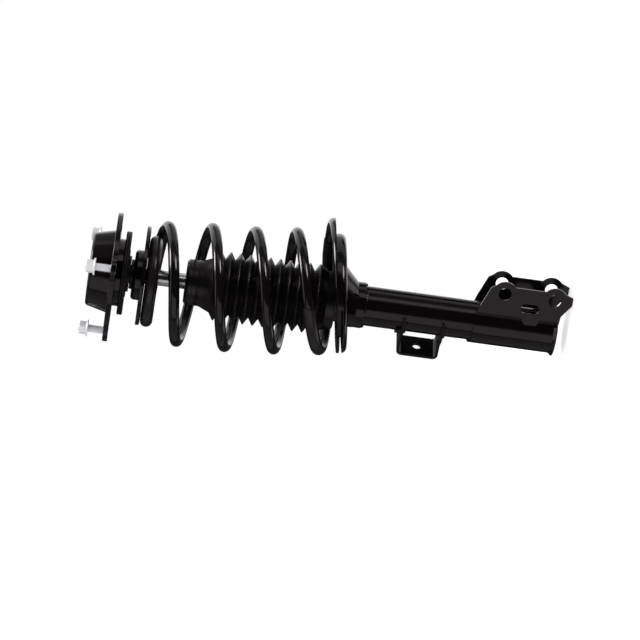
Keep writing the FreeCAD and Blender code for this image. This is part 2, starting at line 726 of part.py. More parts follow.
def strut_tube():
    """Outer tube of the damper."""
    return ring(TUBE_R, TUBE_IN_R, TUBE_END_Z, CAP_LOW_Z)


def tube_base():
    """Dished plug that closes the tube's foot."""
    low = TUBE_END_Z + PLUG_RECESS
    lip = TUBE_IN_R - PLUG_LIP
    return turned([
        (0, TUBE_FLOOR_Z), (TUBE_IN_R, TUBE_FLOOR_Z), (TUBE_IN_R, low), (lip, low),
        (lip - PLUG_DISH, low + PLUG_DISH), (0, low + PLUG_DISH)])


def spring_radius(turn):
    """Mean radius of the coil at a turn: a narrow eye, a shoulder, the body, a wide end and the tip on the pad."""
    if turn < 0:
        return SPRING_SHOULDER_R + (SPRING_SHOULDER_R - SPRING_EYE_R) * turn
    if turn < SHOULDER_TURNS:
        ease = math.sin(math.pi / 2 * turn / SHOULDER_TURNS)
        return SPRING_SHOULDER_R + (SPRING_BODY_R - SPRING_SHOULDER_R) * ease
    if turn < END_FLARE_FROM:
        return SPRING_BODY_R
    if turn < END_FLARE_TO:
        ease = (turn - END_FLARE_FROM) / (END_FLARE_TO - END_FLARE_FROM)
        return SPRING_BODY_R + (SPRING_END_R - SPRING_BODY_R) * (1 - math.cos(math.pi * ease)) / 2
    ease = min(1.0, (turn - END_FLARE_TO) / (SPRING_END_TURN - END_FLARE_TO))
    return SPRING_END_R + (SPRING_TIP_R - SPRING_END_R) * (1 - math.cos(math.pi * ease)) / 2


def ramp_area(turn, start, end):
    """Area under a slope that rises evenly from 0 at the start to 1 at the end."""
    if turn <= start:
        return 0.0
    if turn >= end:
        return (end - start) / 2.0 + (turn - end)
    return (turn - start) ** 2 / (2.0 * (end - start))


def climb(turn):
    """Turns' worth of pitch used up at a turn: none in the closed end coils."""
    return ramp_area(turn, TOP_RAMP_FROM, TOP_RAMP_TO) - ramp_area(turn, END_RAMP_FROM, END_RAMP_TO)


def axis_offset(depth):
    """How far the bowed spring axis lies towards the knuckle at a depth, and its slope."""
    if depth <= BOW_START:
        return BOW_OFFSET * max(0.0, min(1.0, (depth + SPRING_TOP_Z) / BOW_LEAD)), 0.0
    slope_rate = BOW_END_SLOPE / (BOW_END - BOW_START)
    if depth < BOW_END:
        run = depth - BOW_START
        return BOW_OFFSET + slope_rate * run * run / 2.0, slope_rate * run
    bowed = BOW_OFFSET + BOW_END_SLOPE * (BOW_END - BOW_START) / 2.0
    return bowed + BOW_END_SLOPE * (depth - BOW_END), BOW_END_SLOPE


def swell(turn, middle, reach):
    """A smooth hump: 1 at its middle turn and nothing beyond its reach."""
    away = min(1.0, abs(turn - middle) / reach)
    return (1.0 + math.cos(math.pi * away)) / 2.0


def tip_share(turn):
    """How far the wire's last stretch has come down into the plane that its end is ground to."""
    part = max(0.0, (turn - TIP_DROP_FROM) / (SPRING_END_TURN - TIP_DROP_FROM))
    return (part + math.sin(math.pi / 2 * part)) / 2


def spring_point(turn):
    """A point of the wire's centre line. Turn 0 is the first wide crest on the knuckle side."""
    share = climb(turn) / climb(SPRING_END_TURN)
    depth = -SPRING_TOP_Z + share * (SPRING_END_DEPTH + SPRING_TOP_Z)
    depth += FIRST_SAG * swell(turn, FIRST_SAG_TURN, FIRST_SAG_REACH)
    depth -= LAST_RISE * swell(turn, LAST_RISE_TURN, LAST_RISE_REACH)
    depth += TIP_DROP * tip_share(turn)
    offset, slope = axis_offset(depth)
    lean = PAN_LEAN * slope / BOW_END_SLOPE
    a = -2.0 * math.pi * turn
    r = spring_radius(turn)
    along = r * math.cos(a)
    return V(offset + along * math.cos(lean), r * math.sin(a), -depth + along * math.sin(lean))


def spring_tangent(turn):
    """Unit direction of the wire at a turn."""
    step = 0.002
    d = spring_point(turn + step) - spring_point(turn - step)
    return d.normalize()


def arc_between(a, corner, b):
    """The arc from a to b that is tangent to both legs of an even corner."""
    chord = (b - a).normalize()
    weight = (corner - a).normalize().dot(chord)
    middle = (a + corner * (2.0 * weight) + b) * (1.0 / (2.0 + 2.0 * weight))
    return Part.Arc(a, middle, b).toShape()


def biarc(p0, t0, p1, t1):
    """Two arcs that join two points with the given directions."""
    v = p1 - p0
    t = t0 + t1
    q = 2.0 * (1.0 - t0.dot(t1))
    vt = v.dot(t)
    d = (-vt + math.sqrt(vt * vt + q * v.dot(v))) / q
    c0 = p0 + t0 * d
    c1 = p1 - t1 * d
    mid = (c0 + c1) * 0.5
    return [arc_between(p0, c0, mid), arc_between(mid, c1, p1)]


def wire_path(first, last):
    """The wire's centre line between two turns, with a station at each hose's end, where the end coil is
    widest, and about every quarter turn."""
    stops = (SLEEVE_END_TURN, END_SLEEVE_FROM, END_SLEEVE_TO, END_FLARE_TO)
    marks = [first] + [t for t in stops if first < t < last] + [last]
    edges = []
    for low, high in zip(marks[:-1], marks[1:]):
        stations = max(1, round((high - low) * PIPE_STEPS_PER_TURN))
        turns = [low + (high - low) * k / stations for k in range(stations + 1)]
        for a, b in zip(turns[:-1], turns[1:]):
            edges += biarc(spring_point(a), spring_tangent(a), spring_point(b), spring_tangent(b))
    return Part.Wire(edges)


def tube_along(path, first, radius):
    """A round tube of a given radius along a path."""
    circle = Part.Wire(Part.makeCircle(radius, spring_point(first), spring_tangent(first)))
    return path.makePipeShell([circle], True, False)


def coil_spring():
    """The coil spring, as one unbroken tube whose tip is ground flat where it lies on the pad."""
    path = wire_path(SPRING_START_TURN, SPRING_END_TURN)
    wire = tube_along(path, SPRING_START_TURN, WIRE_R)
    return wire.cut(on_pan(disc(2 * PAN_R, -PAN_R, PAD_TOP + PART_GAP)))


def hose_on_wire(first, last, wall):
    """A rubber hose over the wire between two turns."""
    path = wire_path(first, last)
    return tube_along(path, first, WIRE_R + wall).cut(tube_along(path, first, WIRE_R + PART_GAP))


def spring_sleeve():
    """Rubber hose over the top coil."""
    return hose_on_wire(SPRING_START_TURN, SLEEVE_END_TURN, SLEEVE_T)


def spring_end_sleeve():
    """Thicker hose over the last coil, where it comes down to the pan."""
    return hose_on_wire(END_SLEEVE_FROM, END_SLEEVE_TO, END_SLEEVE_T)


def print_spring_gap():
    """Print the least gap between one coil and the next, measured on points of the wire."""
    span = SPRING_END_TURN - SPRING_START_TURN
    points = [spring_point(SPRING_START_TURN + span * k / GAP_SAMPLES) for k in range(GAP_SAMPLES + 1)]
    skip = int(GAP_SKIP_TURNS * GAP_SAMPLES / span)
    least = min(
        (points[j] - points[i]).Length
        for i in range(0, GAP_SAMPLES, 3) for j in range(i + skip, GAP_SAMPLES + 1, 3))
    print("least gap between coils", round(least - 2 * WIRE_R, 2), "mm")


def on_pan(shape):
    """Carry a shape made about the origin to the lower seat's tilted plane."""
    shape.rotate(V(0, 0, 0), V(0, 1, 0), -PAN_TILT)
    shape.translate(PAN_CENTRE)
    return shape


def behind(x, z_low, z_high):
    """All that lies behind a given x, between two heights above the pan's floor."""
    return Part.makeBox(2 * PAN_R, 4 * PAN_R, z_high - z_low, V(x - 2 * PAN_R, -2 * PAN_R, z_low))


def leaning_cone(foot_r, high_r, high_x, high_z):
    """A cone from the collar's centre up to a wider circle that lies off the axis."""
    foot = Part.Wire(Part.makeCircle(foot_r, V(0, 0, CONE_FOOT_Z)))
    high = Part.Wire(Part.makeCircle(high_r, V(high_x, 0, high_z)))
    return Part.makeLoft([foot, high], True, True)


def lower_spring_seat():
    """Pressed pan with a skirt that is lower on its rear half, a leaning cone and a collar."""
    blank = disc(PAN_R, -PAN_SHEET, PAN_SKIRT)
    blank = blank.makeFillet(PAN_EDGE_FILLET, flat_edges(blank, -PAN_SHEET, PAN_R))
    bowl = disc(PAN_R - PAN_SHEET, 0, PAN_SKIRT + CUT)
    bowl = bowl.makeFillet(PAN_EDGE_FILLET - PAN_SHEET, flat_edges(bowl, 0, PAN_R))
    pan = on_pan(blank.cut([bowl, behind(0, PAN_LOW_LIP, PAN_SKIRT + CUT)]))
    high = PAN_Z + CONE_REACH
    rise = (high - CONE_FOOT_Z) / (CONE_TOP_Z - CONE_FOOT_Z)
    slope = CONE_SPREAD / (CONE_TOP_Z - CONE_FOOT_Z)
    wide = COLLAR_R + CONE_SPREAD * rise
    wide_in = wide - COLLAR_WALL * math.sqrt(1.0 + slope * slope)
    aside = CONE_ASIDE * rise
    outer = leaning_cone(COLLAR_R, wide, aside, high).fuse(disc(COLLAR_R, COLLAR_END_Z, CONE_FOOT_Z))
    inner = leaning_cone(COLLAR_IN_R, wide_in, aside, high).fuse(
        disc(COLLAR_IN_R, COLLAR_END_Z - CUT, CONE_FOOT_Z))
    above = on_pan(disc(2 * PAN_R, 0, PAN_R))
    body = pan.fuse(outer.cut(above)).cut(inner)
    x, y = polar(COLLAR_R, COLLAR_SLOT_ANGLE)
    deep = 4 * COLLAR_WALL
    slot = Part.makeBox(deep, COLLAR_SLOT_W, COLLAR_SLOT_LENGTH, V(-deep / 2, -COLLAR_SLOT_W / 2, 0))
    slot.rotate(V(0, 0, 0), V(0, 0, 1), COLLAR_SLOT_ANGLE)
    slot.translate(V(x, y, COLLAR_END_Z + COLLAR_SLOT_RISE))
    return body.cut(slot).removeSplitter()


def lower_spring_pad():
    """Rubber pad in the pan, with a raised and undercut flange at the rear, clear of the coil."""
    outer = PAN_R - PAN_SHEET - PART_GAP
    pad = turned([
        (PAD_IN_R, PART_GAP), (outer - PAD_EDGE, PART_GAP), (outer, PAD_EDGE),
        (outer, PAD_TOP), (PAD_IN_R, PAD_TOP)])
    flange_top = PAD_TOP + PAD_REAR_RISE
    flange_low = flange_top - PAD_FLANGE_T
    rear = behind(PAD_REAR_X, 0, flange_top)
    flange = ring(PAN_R, PAD_IN_R, flange_low, flange_top).common(rear)
    groove = ring(PAN_R, PAD_IN_R + PAD_WALL, PAN_LOW_LIP, flange_low).common(rear)
    return on_pan(pad.fuse(flange).cut(groove).removeSplitter())


def boot_ring():
    """Ring on the tube that carries the boot's lower cuff."""
    high = BOOT_END_Z + BOOT_RING_T
    foot_z = BOOT_END_Z + BOOT_RING_FOOT
    foot_r = BOOT_RING_R + BOOT_RING_FOOT
    bore = TUBE_R + SKIN_GAP
    return turned([
        (bore, BOOT_END_Z), (foot_r, BOOT_END_Z), (foot_r, foot_z), (BOOT_RING_R, foot_z),
        (BOOT_RING_R, high), (bore, high)])


def boot_sections():
    """Heights and radii of the boot's outer line, from its lower cuff up to its cup."""
    lowest_peak = BOOT_FIRST_PEAK_Z - BOOT_PITCH * (BOOT_PLEATS - 1)
    half = BOOT_CREST / 2
    rows = [(BOOT_END_Z + BOOT_RING_FOOT + PART_GAP, BOOT_CUFF_R), (lowest_peak - BOOT_CUFF_RUN, BOOT_CUFF_R)]
    for k in range(BOOT_PLEATS):
        peak = lowest_peak + BOOT_PITCH * k
        rows.append((peak - BOOT_PITCH / 2 + half, BOOT_VALLEY_R))
        rows.append((peak - half, BOOT_PEAK_R))
        rows.append((peak + half, BOOT_PEAK_R))
        rows.append((peak + BOOT_PITCH / 2 - half, BOOT_VALLEY_R))
    rows.append((BOOT_TOP_Z - BOOT_CUP_LENGTH, BOOT_CUP_R))
    rows.append((BOOT_TOP_Z - BOOT_CUP_BEVEL, BOOT_CUP_R))
    rows.append((BOOT_TOP_Z, BOOT_CUP_R - BOOT_CUP_BEVEL))
    return rows


def dust_boot():
    """Pleated rubber boot: cuff, pleats and a top cup closed round the rod."""
    circles = [Part.Wire(Part.makeCircle(r, V(0, 0, z), V(0, 0, 1))) for z, r in boot_sections()]
    outside = Part.makeLoft(circles, True, True)
    cup_in = BOOT_CUP_R - BOOT_WALL
    cup_low = BOOT_TOP_Z - BOOT_CUP_LENGTH
    ceiling = BOOT_TOP_Z - BOOT_WALL
    valley_in = BOOT_VALLEY_R - BOOT_WALL
    rod_hole = ROD_R + PART_GAP
    bore = turned([
        (0, BOOT_END_Z - CUT), (BOOT_RING_R + PART_GAP, BOOT_END_Z - CUT),
        (valley_in, BOOT_END_Z + BOOT_RING_T), (valley_in, BOOT_FIRST_PEAK_Z + BOOT_PITCH / 2),
        (cup_in, cup_low), (cup_in, ceiling - BOOT_CUP_BEVEL), (cup_in - BOOT_CUP_BEVEL, ceiling),
        (rod_hole, ceiling), (rod_hole, BOOT_TOP_Z + CUT), (0, BOOT_TOP_Z + CUT)])
    return outside.cut(bore)


def corner_edges(shape, x):
    """The edges along Y that lie at a given x."""
    return [e for e in shape.Edges if e.BoundBox.XMin > x - 0.01 and e.BoundBox.YLength > 1.0]


def link_bracket():
    """U-shaped strap: two arms that hug the tube, a foot above the upper arm and a web with one hole."""
    half_w = LINK_WIDTH / 2
    hug = LINK_HUG_HALF
    outline = [
        V(LINK_WEB_R, half_w, LINK_LOW_Z), V(LINK_FLARE_FROM, half_w, LINK_LOW_Z),
        V(LINK_FLARE_TO, hug, LINK_LOW_Z), V(-LINK_HUG_BACK, hug, LINK_LOW_Z),
        V(-LINK_HUG_BACK, -hug, LINK_LOW_Z), V(LINK_FLARE_TO, -hug, LINK_LOW_Z),
        V(LINK_FLARE_FROM, -half_w, LINK_LOW_Z), V(LINK_WEB_R, -half_w, LINK_LOW_Z)]
    block = Part.Face(Part.makePolygon(outline + [outline[0]])).extrude(V(0, 0, LINK_SPAN))
    block = block.makeFillet(LINK_CORNER_R, corner_edges(block, LINK_WEB_R))
    web_in = LINK_WEB_R - LINK_SHEET
    back = -LINK_HUG_BACK - CUT
    inside = Part.makeBox(
        web_in - back, 4 * hug, LINK_SPAN - 2 * LINK_SHEET, V(back, -2 * hug, LINK_LOW_Z + LINK_SHEET))
    inside = inside.makeFillet(LINK_CORNER_R - LINK_SHEET, corner_edges(inside, web_in))
    strap = block.cut(inside)
    foot = ring(WRAP_IN_R + LINK_SHEET, WRAP_IN_R, LINK_HIGH_Z - LINK_SHEET, LINK_HIGH_Z + LINK_FOOT)
    front = Part.makeBox(hug, 2 * hug, 2 * hug, V(LINK_FOOT_X, -hug, LINK_HIGH_Z - hug))
    strap = strap.fuse(foot.common(front))
    strap = strap.cut(disc(WRAP_IN_R, LINK_LOW_Z - CUT, LINK_HIGH_Z + LINK_FOOT + CUT))
    hole = Part.makeCylinder(LINK_HOLE_R, 3 * LINK_SHEET, V(web_in - LINK_SHEET, 0, LINK_Z), V(1, 0, 0))
    strap = strap.cut(hole).removeSplitter()
    strap.rotate(V(0, 0, 0), V(0, 0, 1), LINK_ANGLE)
    return strap


def bead(z, start, span):
    """A weld bead round part of the tube, from one angle through a span."""
    torus = Part.makeTorus(BEAD_CENTRE_R, BEAD_R, V(0, 0, z), V(0, 0, 1), -180, 180, span)
    torus.rotate(V(0, 0, 0), V(0, 0, 1), start)
    return torus


def link_welds():
    """Beads under both arms of the strap, on each side of the tube."""
    beads = []
    for z in (LINK_LOW_Z - BEAD_STAND, LINK_HIGH_Z - LINK_SHEET - BEAD_STAND):
        for side in (1, -1):
            start = LINK_ANGLE + side * LINK_BEAD_MID - LINK_BEAD_SPAN / 2
            beads.append(bead(z, start, LINK_BEAD_SPAN))
    return Part.makeCompound(beads)


def seat_welds():
    """Beads where the seat's collar meets the tube."""
    z = COLLAR_END_Z - BEAD_STAND
    step = 360.0 / SEAT_BEAD_COUNT
    return Part.makeCompound([bead(z, SEAT_BEAD_START + step * k, SEAT_BEAD_SPAN) for k in range(SEAT_BEAD_COUNT)])


def line(ax, ay, az, bx, by, bz):
    """A straight edge between two points."""
    return Part.LineSegment(V(ax, ay, az), V(bx, by, bz)).toShape()


def wrap_section():
    """Section of the bracket: a wrap round the tube that steps out to two flat flanges."""
    neck_x = SHOULDER_X - SHOULDER_RUN
    neck_y = math.sqrt(WRAP_OUT_R ** 2 - neck_x ** 2)
    lean = math.atan2(FLANGE_OUT_Y - neck_y, SHOULDER_RUN)
    in_x = neck_x + WRAP_SHEET * math.sin(lean)
    join_y = math.sqrt(WRAP_IN_R ** 2 - in_x ** 2)
    turn_x = SHOULDER_X + WRAP_SHEET * math.tan(lean / 2)
    far = EDGE_X + BOLT_LOBE_R
    outer = [
        line(far, -FLANGE_OUT_Y, 0, SHOULDER_X, -FLANGE_OUT_Y, 0),
        line(SHOULDER_X, -FLANGE_OUT_Y, 0, neck_x, -neck_y, 0),
        Part.Arc(V(neck_x, -neck_y, 0), V(-WRAP_OUT_R, 0, 0), V(neck_x, neck_y, 0)).toShape(),
        line(neck_x, neck_y, 0, SHOULDER_X, FLANGE_OUT_Y, 0),
        line(SHOULDER_X, FLANGE_OUT_Y, 0, far, FLANGE_OUT_Y, 0),
        line(far, FLANGE_OUT_Y, 0, far, FLANGE_IN_Y, 0),
        line(far, FLANGE_IN_Y, 0, turn_x, FLANGE_IN_Y, 0),
        line(turn_x, FLANGE_IN_Y, 0, in_x, join_y, 0),
        Part.Arc(V(in_x, join_y, 0), V(-WRAP_IN_R, 0, 0), V(in_x, -join_y, 0)).toShape(),
        line(in_x, -join_y, 0, turn_x, -FLANGE_IN_Y, 0),
        line(turn_x, -FLANGE_IN_Y, 0, far, -FLANGE_IN_Y, 0),
        line(far, -FLANGE_IN_Y, 0, far, -FLANGE_OUT_Y, 0)]
    return Part.Face(Part.Wire(outer))


def side_outline():
    """The bracket's outline seen along the bolts, as a face to cut the section's length with."""
    rise = math.sqrt(BOLT_LOBE_R ** 2 - (EDGE_X - BOLT_X) ** 2)
    crown_x = BOLT_X + BOLT_LOBE_R
    back = -2 * WRAP_OUT_R
    root = SHOULDER_X - SHOULDER_RUN
    flat_x = HORN_X - HORN_FLAT
    lobes = []
    for z in (BOLT_UPPER_Z, BOLT_LOWER_Z):
        lobes.append(Part.Arc(V(EDGE_X, 0, z + rise), V(crown_x, 0, z), V(EDGE_X, 0, z - rise)).toShape())
    edges = [
        line(back, 0, WRAP_TOP_Z, root, 0, WRAP_TOP_Z),
        line(root, 0, WRAP_TOP_Z, NOTCH_X, 0, NOTCH_UP_Z),
        line(NOTCH_X, 0, NOTCH_UP_Z, HORN_X, 0, HORN_UP_Z),
        line(HORN_X, 0, HORN_UP_Z, EDGE_X, 0, BOLT_UPPER_Z + rise),
        lobes[0],
        line(EDGE_X, 0, BOLT_UPPER_Z - rise, EDGE_X, 0, BOLT_LOWER_Z + rise),
        lobes[1],
        line(EDGE_X, 0, BOLT_LOWER_Z - rise, HORN_X, 0, HORN_LOW_Z),
        line(HORN_X, 0, HORN_LOW_Z, flat_x, 0, HORN_LOW_Z),
        line(flat_x, 0, HORN_LOW_Z, NOTCH_X, 0, NOTCH_LOW_Z),
        line(NOTCH_X, 0, NOTCH_LOW_Z, root, 0, WRAP_END_Z),
        line(root, 0, WRAP_END_Z, back, 0, WRAP_END_Z),
        line(back, 0, WRAP_END_Z, back, 0, WRAP_TOP_Z)]
    return Part.Face(Part.Wire(edges))


def cross_bore(radius, x, z):
    """A cutter along Y, right through both flanges."""
    deep = 4 * FLANGE_OUT_Y
    return Part.makeCylinder(radius, deep, V(x, -deep / 2, z), V(0, 1, 0))


def slot_cutter():
    """The round-ended slot along Z, cut right through both flanges."""
    deep = 4 * FLANGE_OUT_Y
    half = (SLOT_LENGTH - SLOT_W) / 2
    box = Part.makeBox(SLOT_W, deep, 2 * half, V(SLOT_X - SLOT_W / 2, -deep / 2, SLOT_Z - half))
    return box.fuse([cross_bore(SLOT_W / 2, SLOT_X, SLOT_Z + side * half) for side in (1, -1)])


def shoulder_tab(y):
    """Flat tab that carries one flange's plane down over the step beside the slot."""
    round_r = TAB_W / 2
    mid_x = TAB_REACH_X + round_r
    tab = Part.makeCylinder(round_r, WRAP_SHEET, V(mid_x, y, TAB_Z), V(0, 1, 0))
    root = Part.makeBox(SHOULDER_X + TAB_ROOT - mid_x, WRAP_SHEET, TAB_W, V(mid_x, y, TAB_Z - round_r))
    return tab.fuse(root).cut(disc(WRAP_IN_R, TAB_Z - TAB_W, TAB_Z + TAB_W))


def wrap_rim():
    """Rim of the wrap's lower end, flared outwards behind the flanges."""
    top = WRAP_END_Z + RIM_H
    flare_r = WRAP_OUT_R + RIM_FLARE
    flare = turned([
        (WRAP_IN_R, top), (WRAP_OUT_R, top), (flare_r, WRAP_END_Z + RIM_LIP),
        (flare_r - RIM_LIP, WRAP_END_Z), (WRAP_IN_R, WRAP_END_Z)])
    deep = 2 * flare_r
    keep = Part.makeBox(deep, 2 * deep, deep, V(RIM_FRONT_X - deep, -deep, WRAP_END_Z - deep / 2))
    return flare.common(keep)


def knuckle_bracket():
    """The clevis: wrap, two flanges with bolt holes, slot and pin hole, shoulder tabs and rim."""
    body = wrap_section().extrude(V(0, 0, WRAP_TOP_Z - HORN_LOW_Z + 2 * CUT))
    body.translate(V(0, 0, HORN_LOW_Z - CUT))
    deep = 4 * FLANGE_OUT_Y
    side = side_outline().extrude(V(0, deep, 0))
    side.translate(V(0, -deep / 2, 0))
    body = body.common(side)
    body = body.fuse([shoulder_tab(FLANGE_IN_Y), shoulder_tab(-FLANGE_OUT_Y), wrap_rim()])
    body = body.cut([
        cross_bore(BOLT_HOLE_R, BOLT_X, BOLT_UPPER_Z), cross_bore(BOLT_HOLE_R, BOLT_X, BOLT_LOWER_Z),
        cross_bore(PIN_HOLE_R, PIN_HOLE_X, PIN_HOLE_Z), slot_cutter()])
    return body.removeSplitter()


def knuckle_welds():
    """Bead round the rear of the tube at the wrap's upper edge."""
    return bead(WRAP_TOP_Z + BEAD_STAND, KNUCKLE_BEAD_START, KNUCKLE_BEAD_SPAN)


for builder in (
        mount_top_shell, mount_bottom_shell, mount_studs, stud_nuts, mount_rubber, dust_ring,
        bearing_core, bearing_outer_race, bearing_balls, bearing_cage, bearing_inner_race,
        rod_washer, rod_nut, neck_spacer, upper_spring_seat, seat_washer, piston_rod,
        rebound_stop, piston, piston_ring, piston_nut, bump_stop, coil_spring, spring_sleeve,
        spring_end_sleeve, dust_boot, boot_ring, tube_cap, rod_seal, rod_guide, guide_bush, pressure_tube,
        base_valve, strut_tube, tube_base, lower_spring_seat, lower_spring_pad, seat_welds,
        link_bracket, link_welds, knuckle_bracket, knuckle_welds):
    save(builder.__name__, builder())

print_spring_gap()
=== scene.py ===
import math

import bmesh
import bpy
from mathutils import Matrix, Vector


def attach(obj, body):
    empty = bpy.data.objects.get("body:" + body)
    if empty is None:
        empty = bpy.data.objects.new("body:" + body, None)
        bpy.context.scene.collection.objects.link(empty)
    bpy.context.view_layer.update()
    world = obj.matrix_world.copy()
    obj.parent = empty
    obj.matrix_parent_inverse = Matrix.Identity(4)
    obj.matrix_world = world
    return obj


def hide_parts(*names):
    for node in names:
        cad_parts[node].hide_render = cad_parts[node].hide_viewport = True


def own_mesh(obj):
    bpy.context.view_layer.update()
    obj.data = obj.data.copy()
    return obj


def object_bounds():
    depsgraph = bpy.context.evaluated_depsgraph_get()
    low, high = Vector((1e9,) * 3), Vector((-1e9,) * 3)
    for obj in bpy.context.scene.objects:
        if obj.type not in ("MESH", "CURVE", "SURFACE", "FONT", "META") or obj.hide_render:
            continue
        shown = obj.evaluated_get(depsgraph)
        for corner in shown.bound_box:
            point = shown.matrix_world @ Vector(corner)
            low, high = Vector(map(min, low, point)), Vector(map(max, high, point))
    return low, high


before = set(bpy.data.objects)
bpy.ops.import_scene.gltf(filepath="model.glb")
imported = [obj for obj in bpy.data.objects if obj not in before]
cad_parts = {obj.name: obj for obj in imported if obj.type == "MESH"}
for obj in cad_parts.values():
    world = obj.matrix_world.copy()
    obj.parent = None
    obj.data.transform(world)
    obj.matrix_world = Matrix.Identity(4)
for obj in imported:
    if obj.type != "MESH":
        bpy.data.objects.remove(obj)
cad_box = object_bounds()

# The studio
# A pale floor in a white room, with soft boxes and flash heads beside the strut. Dark curtains, a
# ground cloth and two cards are glowing sheets that only gloss sees: they light nothing and paint
# the light and dark bands into the black paint's reflections. The camera looks at the strut's side
# from 3.85 m, rolled so that the mount lies to the left.
VIEW_TURN = math.radians(16.612)
VIEW_RISE = math.radians(3.606)
VIEW_ROLL = math.radians(7.684)
VIEW_FROM = 3.85207
AIM = Vector((0, 0, -0.2729))
AIM_LEFT = 0.003806
AIM_LOW = 0.02562
LENS = 169.48
FILM_WIDE = 36
near = Vector((math.sin(VIEW_TURN), -math.cos(VIEW_TURN), 0))
beside = Vector((math.cos(VIEW_TURN), math.sin(VIEW_TURN), 0))
along = Vector((0, 0, -math.cos(VIEW_RISE))) + near * math.sin(VIEW_RISE)
back = Vector((0, 0, math.sin(VIEW_RISE))) + near * math.cos(VIEW_RISE)
right = along * math.cos(VIEW_ROLL) + beside * math.sin(VIEW_ROLL)
up = beside * math.cos(VIEW_ROLL) - along * math.sin(VIEW_ROLL)
spot = AIM - right * AIM_LEFT - up * AIM_LOW + back * VIEW_FROM
scene = bpy.context.scene
scene.view_settings.view_transform = "Standard"
camera = bpy.data.objects.new("camera", bpy.data.cameras.new("camera"))
scene.collection.objects.link(camera)
camera.data.lens = LENS
camera.data.sensor_width = FILM_WIDE
camera.data.clip_end = 30
camera.matrix_world = Matrix((
    (right.x, up.x, back.x, spot.x), (right.y, up.y, back.y, spot.y),
    (right.z, up.z, back.z, spot.z), (0, 0, 0, 1)))
scene.camera = camera


def colour(code):
    """An sRGB hex colour as linear red, green, blue and alpha."""
    parts = [int(code[k:k + 2], 16) / 255 for k in (1, 3, 5)]
    return [p / 12.92 if p <= 0.04045 else ((p + 0.055) / 1.055) ** 2.4 for p in parts] + [1.0]


def add(tree, kind, values=None, links=None):
    """One node with its settings, socket values and links."""
    made = tree.nodes.new("ShaderNode" + kind)
    for key, value in (values or {}).items():
        if isinstance(key, int) or key in made.inputs:
            made.inputs[key].default_value = value
        else:
            setattr(made, key, value)
    for key, source in (links or {}).items():
        tree.links.new(source, made.inputs[key])
    return made


def seen_by_eye(tree):
    """1 for what the camera sees straight, in a gloss or through glass, and 0 for light on matt faces."""
    path = add(tree, "LightPath").outputs
    either = add(tree, "Math", {"operation": "MAXIMUM"},
                 {0: path["Is Camera Ray"], 1: path["Is Glossy Ray"]})
    seen = add(tree, "Math", {"operation": "MAXIMUM"},
               {0: either.outputs[0], 1: path["Is Transmission Ray"]})
    return seen.outputs[0]


# The room: white to the eye, and a touch less than that where it lights the matt faces.
ROOM_LIGHT = 0.95
world = bpy.data.worlds.new("white_room")
scene.world = world
world.use_nodes = True
tree = world.node_tree
tree.nodes.clear()
level = add(tree, "MapRange", {"To Min": ROOM_LIGHT, "To Max": 1.0}, {"Value": seen_by_eye(tree)})
sky = add(tree, "Background", {"Color": colour("#ffffff")}, {"Strength": level.outputs[0]})
add(tree, "OutputWorld", links={"Surface": sky.outputs[0]})

# The floor: matt paper just under the strut. It glows a little to the eye, so that it comes out
# nearly white and still keeps the strut's shadow, and it is clear from below.
FLOOR_R = 1.25
FLOOR_GAP = 0.0005
FLOOR_LIFT = 0.5
paper = bpy.data.materials.new("floor_paper")
paper.use_nodes = True
tree = paper.node_tree
tree.nodes.clear()
lift = add(tree, "Math", {"operation": "MULTIPLY", 1: FLOOR_LIFT}, {0: seen_by_eye(tree)})
sheet = add(tree, "BsdfPrincipled",
            {"Base Color": colour("#f4f3f2"), "Roughness": 0.8, "Specular IOR Level": 0.2,
             "Emission Color": colour("#ffffff")}, {"Emission Strength": lift.outputs[0]})
clear = add(tree, "BsdfTransparent")
side = add(tree, "NewGeometry")
both = add(tree, "MixShader",
           links={0: side.outputs["Backfacing"], 1: sheet.outputs[0], 2: clear.outputs[0]})
add(tree, "OutputMaterial", links={"Surface": both.outputs[0]})
bm = bmesh.new()
bmesh.ops.create_circle(bm, cap_ends=True, segments=96, radius=FLOOR_R,
                        matrix=Matrix.Translation((0, 0, cad_box[0].z - FLOOR_GAP)))
mesh = bpy.data.meshes.new("floor")
bm.to_mesh(mesh)
bm.free()
mesh.materials.append(paper)
floor = bpy.data.objects.new("floor", mesh)
scene.collection.objects.link(floor)
floor.visible_glossy = False

# Curtains: first and last angle round the strut, measured from the camera towards the photograph's
# top, the height they hang from, and how brightly the cloth glows. Only gloss sees them: each is a
# painted reflection, a glowing band that lights nothing.
CURTAIN_R = 2.4
CURTAIN_LOW = -3.5
PAINTED_REFLECTION_CURTAINS = (
    ("front_curtain_painted_reflection", -72, 36, 4.5, 0.012),
    ("gap_curtain_painted_reflection", 36, 86, 4.5, 0.1),
    ("top_curtain_painted_reflection", 86, 142, 0.9, 0.2),
    ("low_curtain_painted_reflection", -128, -72, 4.5, 0.2),
    ("rear_curtain_painted_reflection", -184, -128, 4.5, 0.04))


def outward(turn):
    """A level line from the strut, so many degrees round from the camera."""
    angle = math.atan2(near.y, near.x) + math.radians(turn)
    return Vector((math.cos(angle), math.sin(angle), 0))


def painted_reflection_glow(name, strength):
    """Glowing cloth or card of one tone, however the light falls on it: a painted reflection."""
    made = bpy.data.materials.new(name)
    made.use_nodes = True
    made.node_tree.nodes.clear()
    glow = add(made.node_tree, "Emission", {"Color": colour("#ffffff"), "Strength": strength})
    add(made.node_tree, "OutputMaterial", links={"Surface": glow.outputs[0]})
    return made


def seen_in_gloss(bm, name, material):
    """Put up a sheet that only gloss sees: a painted reflection that lights and shades nothing."""
    mesh = bpy.data.meshes.new(name)
    bm.to_mesh(mesh)
    bm.free()
    mesh.materials.append(material)
    made = bpy.data.objects.new(name, mesh)
    scene.collection.objects.link(made)
    made.visible_camera = False
    made.visible_diffuse = False
    made.visible_shadow = False
    made.visible_transmission = False


